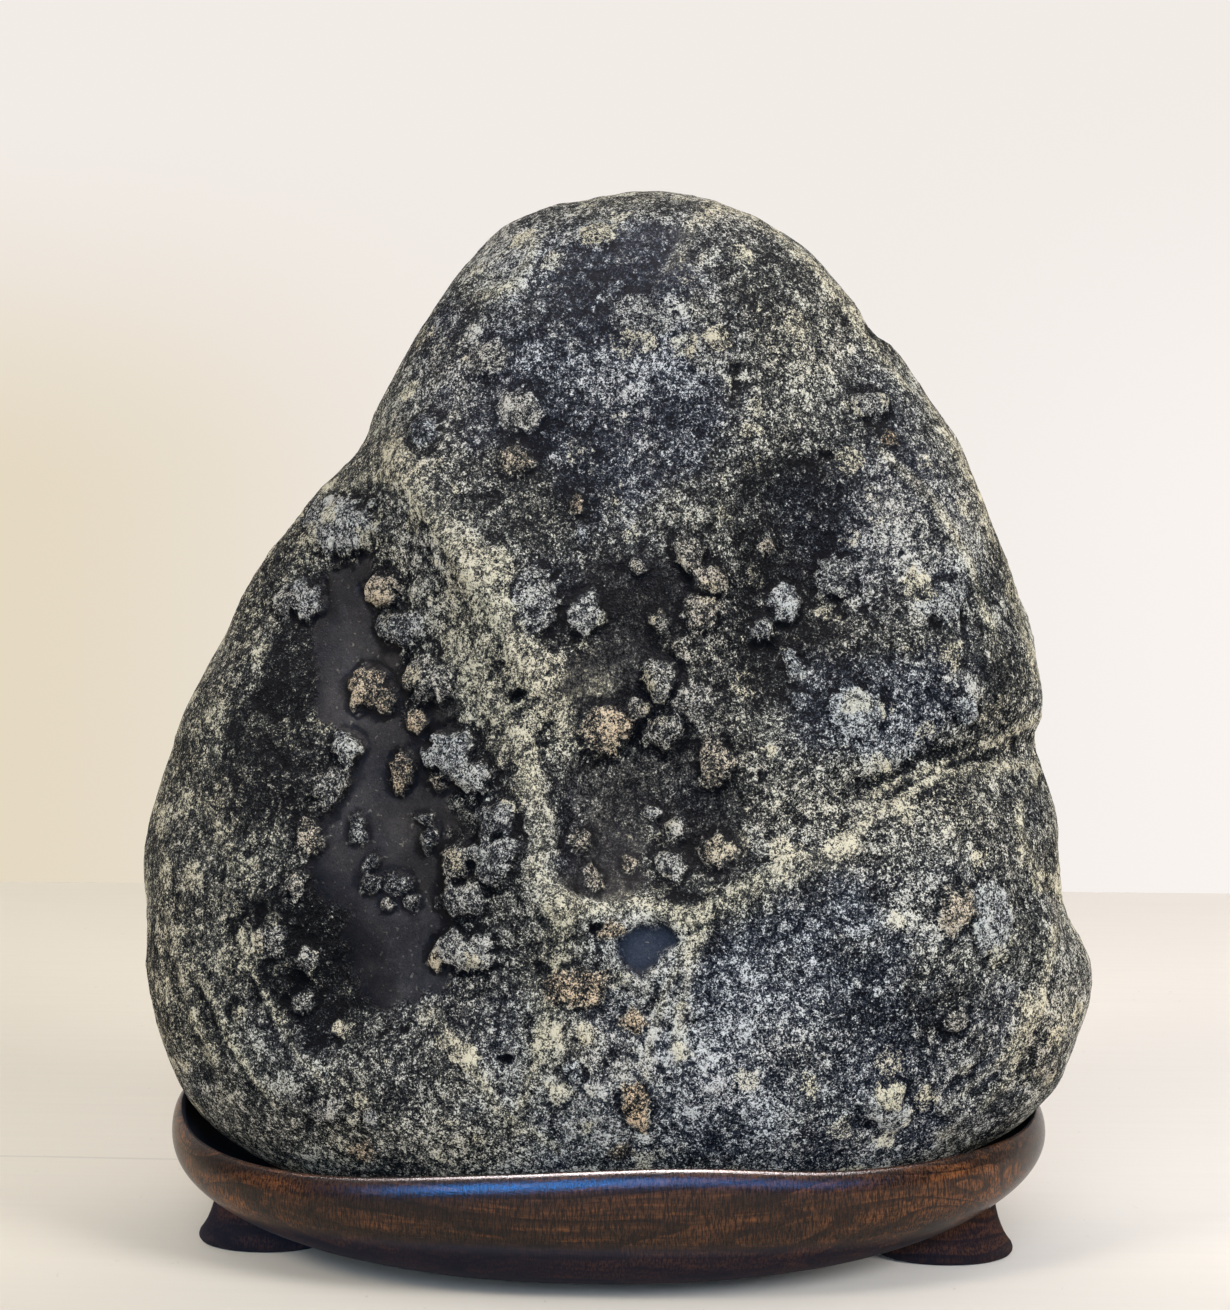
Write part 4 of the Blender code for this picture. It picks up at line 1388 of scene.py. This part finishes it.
# %% [markdown]
# ## The stone: finish
#
# The rock is a dark blue-black matrix full of pale crystals, none larger than a millimetre. Its
# brightness is built as a sum of weights and then put through an exponent, which is how the eye
# sees it: each weight makes the stone so many times brighter or darker. Grains a millimetre
# across have a shade each and dark gaps between them; fine noise gives the crystals; wandering
# threads, tufts and pebbles give the middle sizes; and along the veins the crystals turn into
# strands that lean one way. The stored maps lift or lower the whole sum. The hue is chosen last:
# navy to brown in the dark, and cool, cream or tan in the light.

# %% Tints and strengths
COOL_TINT = (0.94, 1.00, 1.04)
CREAM_TINT = (1.08, 1.02, 0.78)
TAN_TINT = (1.30, 0.98, 0.66)
NAVY_TINT = (0.76, 0.98, 1.52)
MATRIX_TINT = (0.92, 1.02, 1.08)
FLOOR_TINT = (1.13, 1.01, 0.97)
DARKEST, PALEST = 0.002, 0.57
STRAND_LEAN = math.radians(-22.0)
MATRIX_LEVEL, PALE_LEVEL = -4.60, 2.7
FLOOR_DROP, CREVICE_SHADE_DROP = 4.2, 2.2
RELIEF_STRENGTH, RELIEF_DEPTH = 0.8, 0.0006


def pebbles(rock, place, scale, chosen):
    """1 inside ragged pebbles, 0 between them; and the pebbles' own random numbers."""
    distance = rock.node("ShaderNodeTexVoronoi", None, {"Vector": place, "Scale": scale}, "Distance")
    chance = distance.also("Color")
    size = 0.22 + chance.band(chosen, 0.9) * 0.30
    return (size - distance).band(-0.02, 0.07) * chance.band(chosen - 0.01, chosen), chance


def thread(rock, place, scale, detail, roughness, distortion, width):
    """1 along the lines where a noise passes its middle value."""
    swirl = rock.noise(place, scale, detail, roughness, distortion) - 0.5
    return 1 - (swirl * swirl).band(0.0, width)


# %% Dark stone with pale crystals
def speckled_stone():
    rock = Finish("dark_speckled_stone")
    place = rock.place()
    bare, fibre, rough, knob, pale, tan, cream, crevice_shade = map(rock.painted, MAPS)
    covered = 1 - bare
    fine = rock.noise(place, 2.8, 2.0, 0.65, distortion=0.8) - 0.5
    mid = rock.noise(place, 0.9, 2.0, 0.6, distortion=1.6) - 0.5
    cloud = rock.noise(place, 0.15, 2.0, 0.6) - 0.5
    tuft = rock.noise(rock.shift(place, (40.0, 11.0, 23.0)), 0.42, 2.0, 0.6, distortion=0.8) - 0.5
    threads = thread(rock, rock.shift(place, (7.0, 31.0, 3.0)), 0.40, 2.0, 0.55, 1.6, 0.0014)
    curls = thread(rock, rock.shift(place, (3.0, 9.0, 17.0)), 0.85, 1.0, 0.5, 2.2, 0.0030)
    ruffled = rock.ruffle(place, 5.0, 0.45, 3.0, 0.65)
    large, chance = pebbles(rock, ruffled, 0.17, 0.52)
    small, _ = pebbles(rock, ruffled, 0.36, 0.50)
    lumps = large.maximum(small)
    jostled = rock.ruffle(place, 1.9, 1.3, 2.0, 0.6)
    grains = rock.node("ShaderNodeTexVoronoi", None, {"Vector": jostled, "Scale": 0.8}, "Distance")
    grain_shade = grains.also("Color") - 0.5
    gaps = grains.band(0.36, 0.62)
    leaning = {"Vector": place, "Angle": STRAND_LEAN}
    leaning = rock.node("ShaderNodeVectorRotate", {"rotation_type": "Y_AXIS"}, leaning)
    strands = rock.streaks(leaning, (1.5, 1.2, 0.45), 2.0, 0.6, distortion=1.2) - 0.5
    speckle = fine * 16.5 + mid * 4.5 + grain_shade * 2.4 - gaps * 1.3
    speckle = speckle * (1 - fibre * 0.3) + strands * 6.0 * fibre
    flecks = rock.noise(place, 1.1, 1.0, 0.5).band(0.64, 0.76) * 1.3 + cloud * 1.2

    level = MATRIX_LEVEL + pale * PALE_LEVEL + cloud * 1.8 + tuft * 2.3 + lumps * 1.35
    level = level + (threads + curls) * 1.1
    level = level * covered + speckle * (1 - bare * bare * 0.9) + flecks * bare
    level = level - bare * (FLOOR_DROP - pale * 1.2)
    # The crevice map darkens the low places: painted shade.
    level = level - crevice_shade.band(0.02, 0.26) * (CREVICE_SHADE_DROP - bare * 1.1)
    shade = level.exponent().maximum(DARKEST).minimum(PALEST)

    warmth = (cream + (chance - 0.5) * large * 2.0).maximum(0).minimum(1)
    hue = rock.blend(warmth, COOL_TINT, CREAM_TINT)
    hue = rock.blend(tan.minimum(1.0), hue, TAN_TINT)
    dark_hue = rock.blend(bare, MATRIX_TINT, FLOOR_TINT)
    dark_hue = rock.blend(cream.band(0.0, 0.6), NAVY_TINT, dark_hue)
    hue = rock.blend(shade.band(0.01, 0.11), dark_hue, hue)

    relief = (fine * 0.7 + mid * (0.6 + knob) + lumps * 0.6 - gaps * 0.5) * covered
    relief = relief * (0.35 + rough * 0.65) + (fine * 0.25 + flecks * 0.2) * bare
    rock.set_surface(
        base_color=rock.scale(hue, shade),
        roughness=0.50 + covered * 0.30,
        normal=rock.bump(relief, RELIEF_STRENGTH, RELIEF_DEPTH),
        specular_ior_level=0.03,
    )
    return rock


stone.data.shade_smooth()
speckled_stone().put_on(stone)
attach(stone, "root")
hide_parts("stone")
print("stone finished")
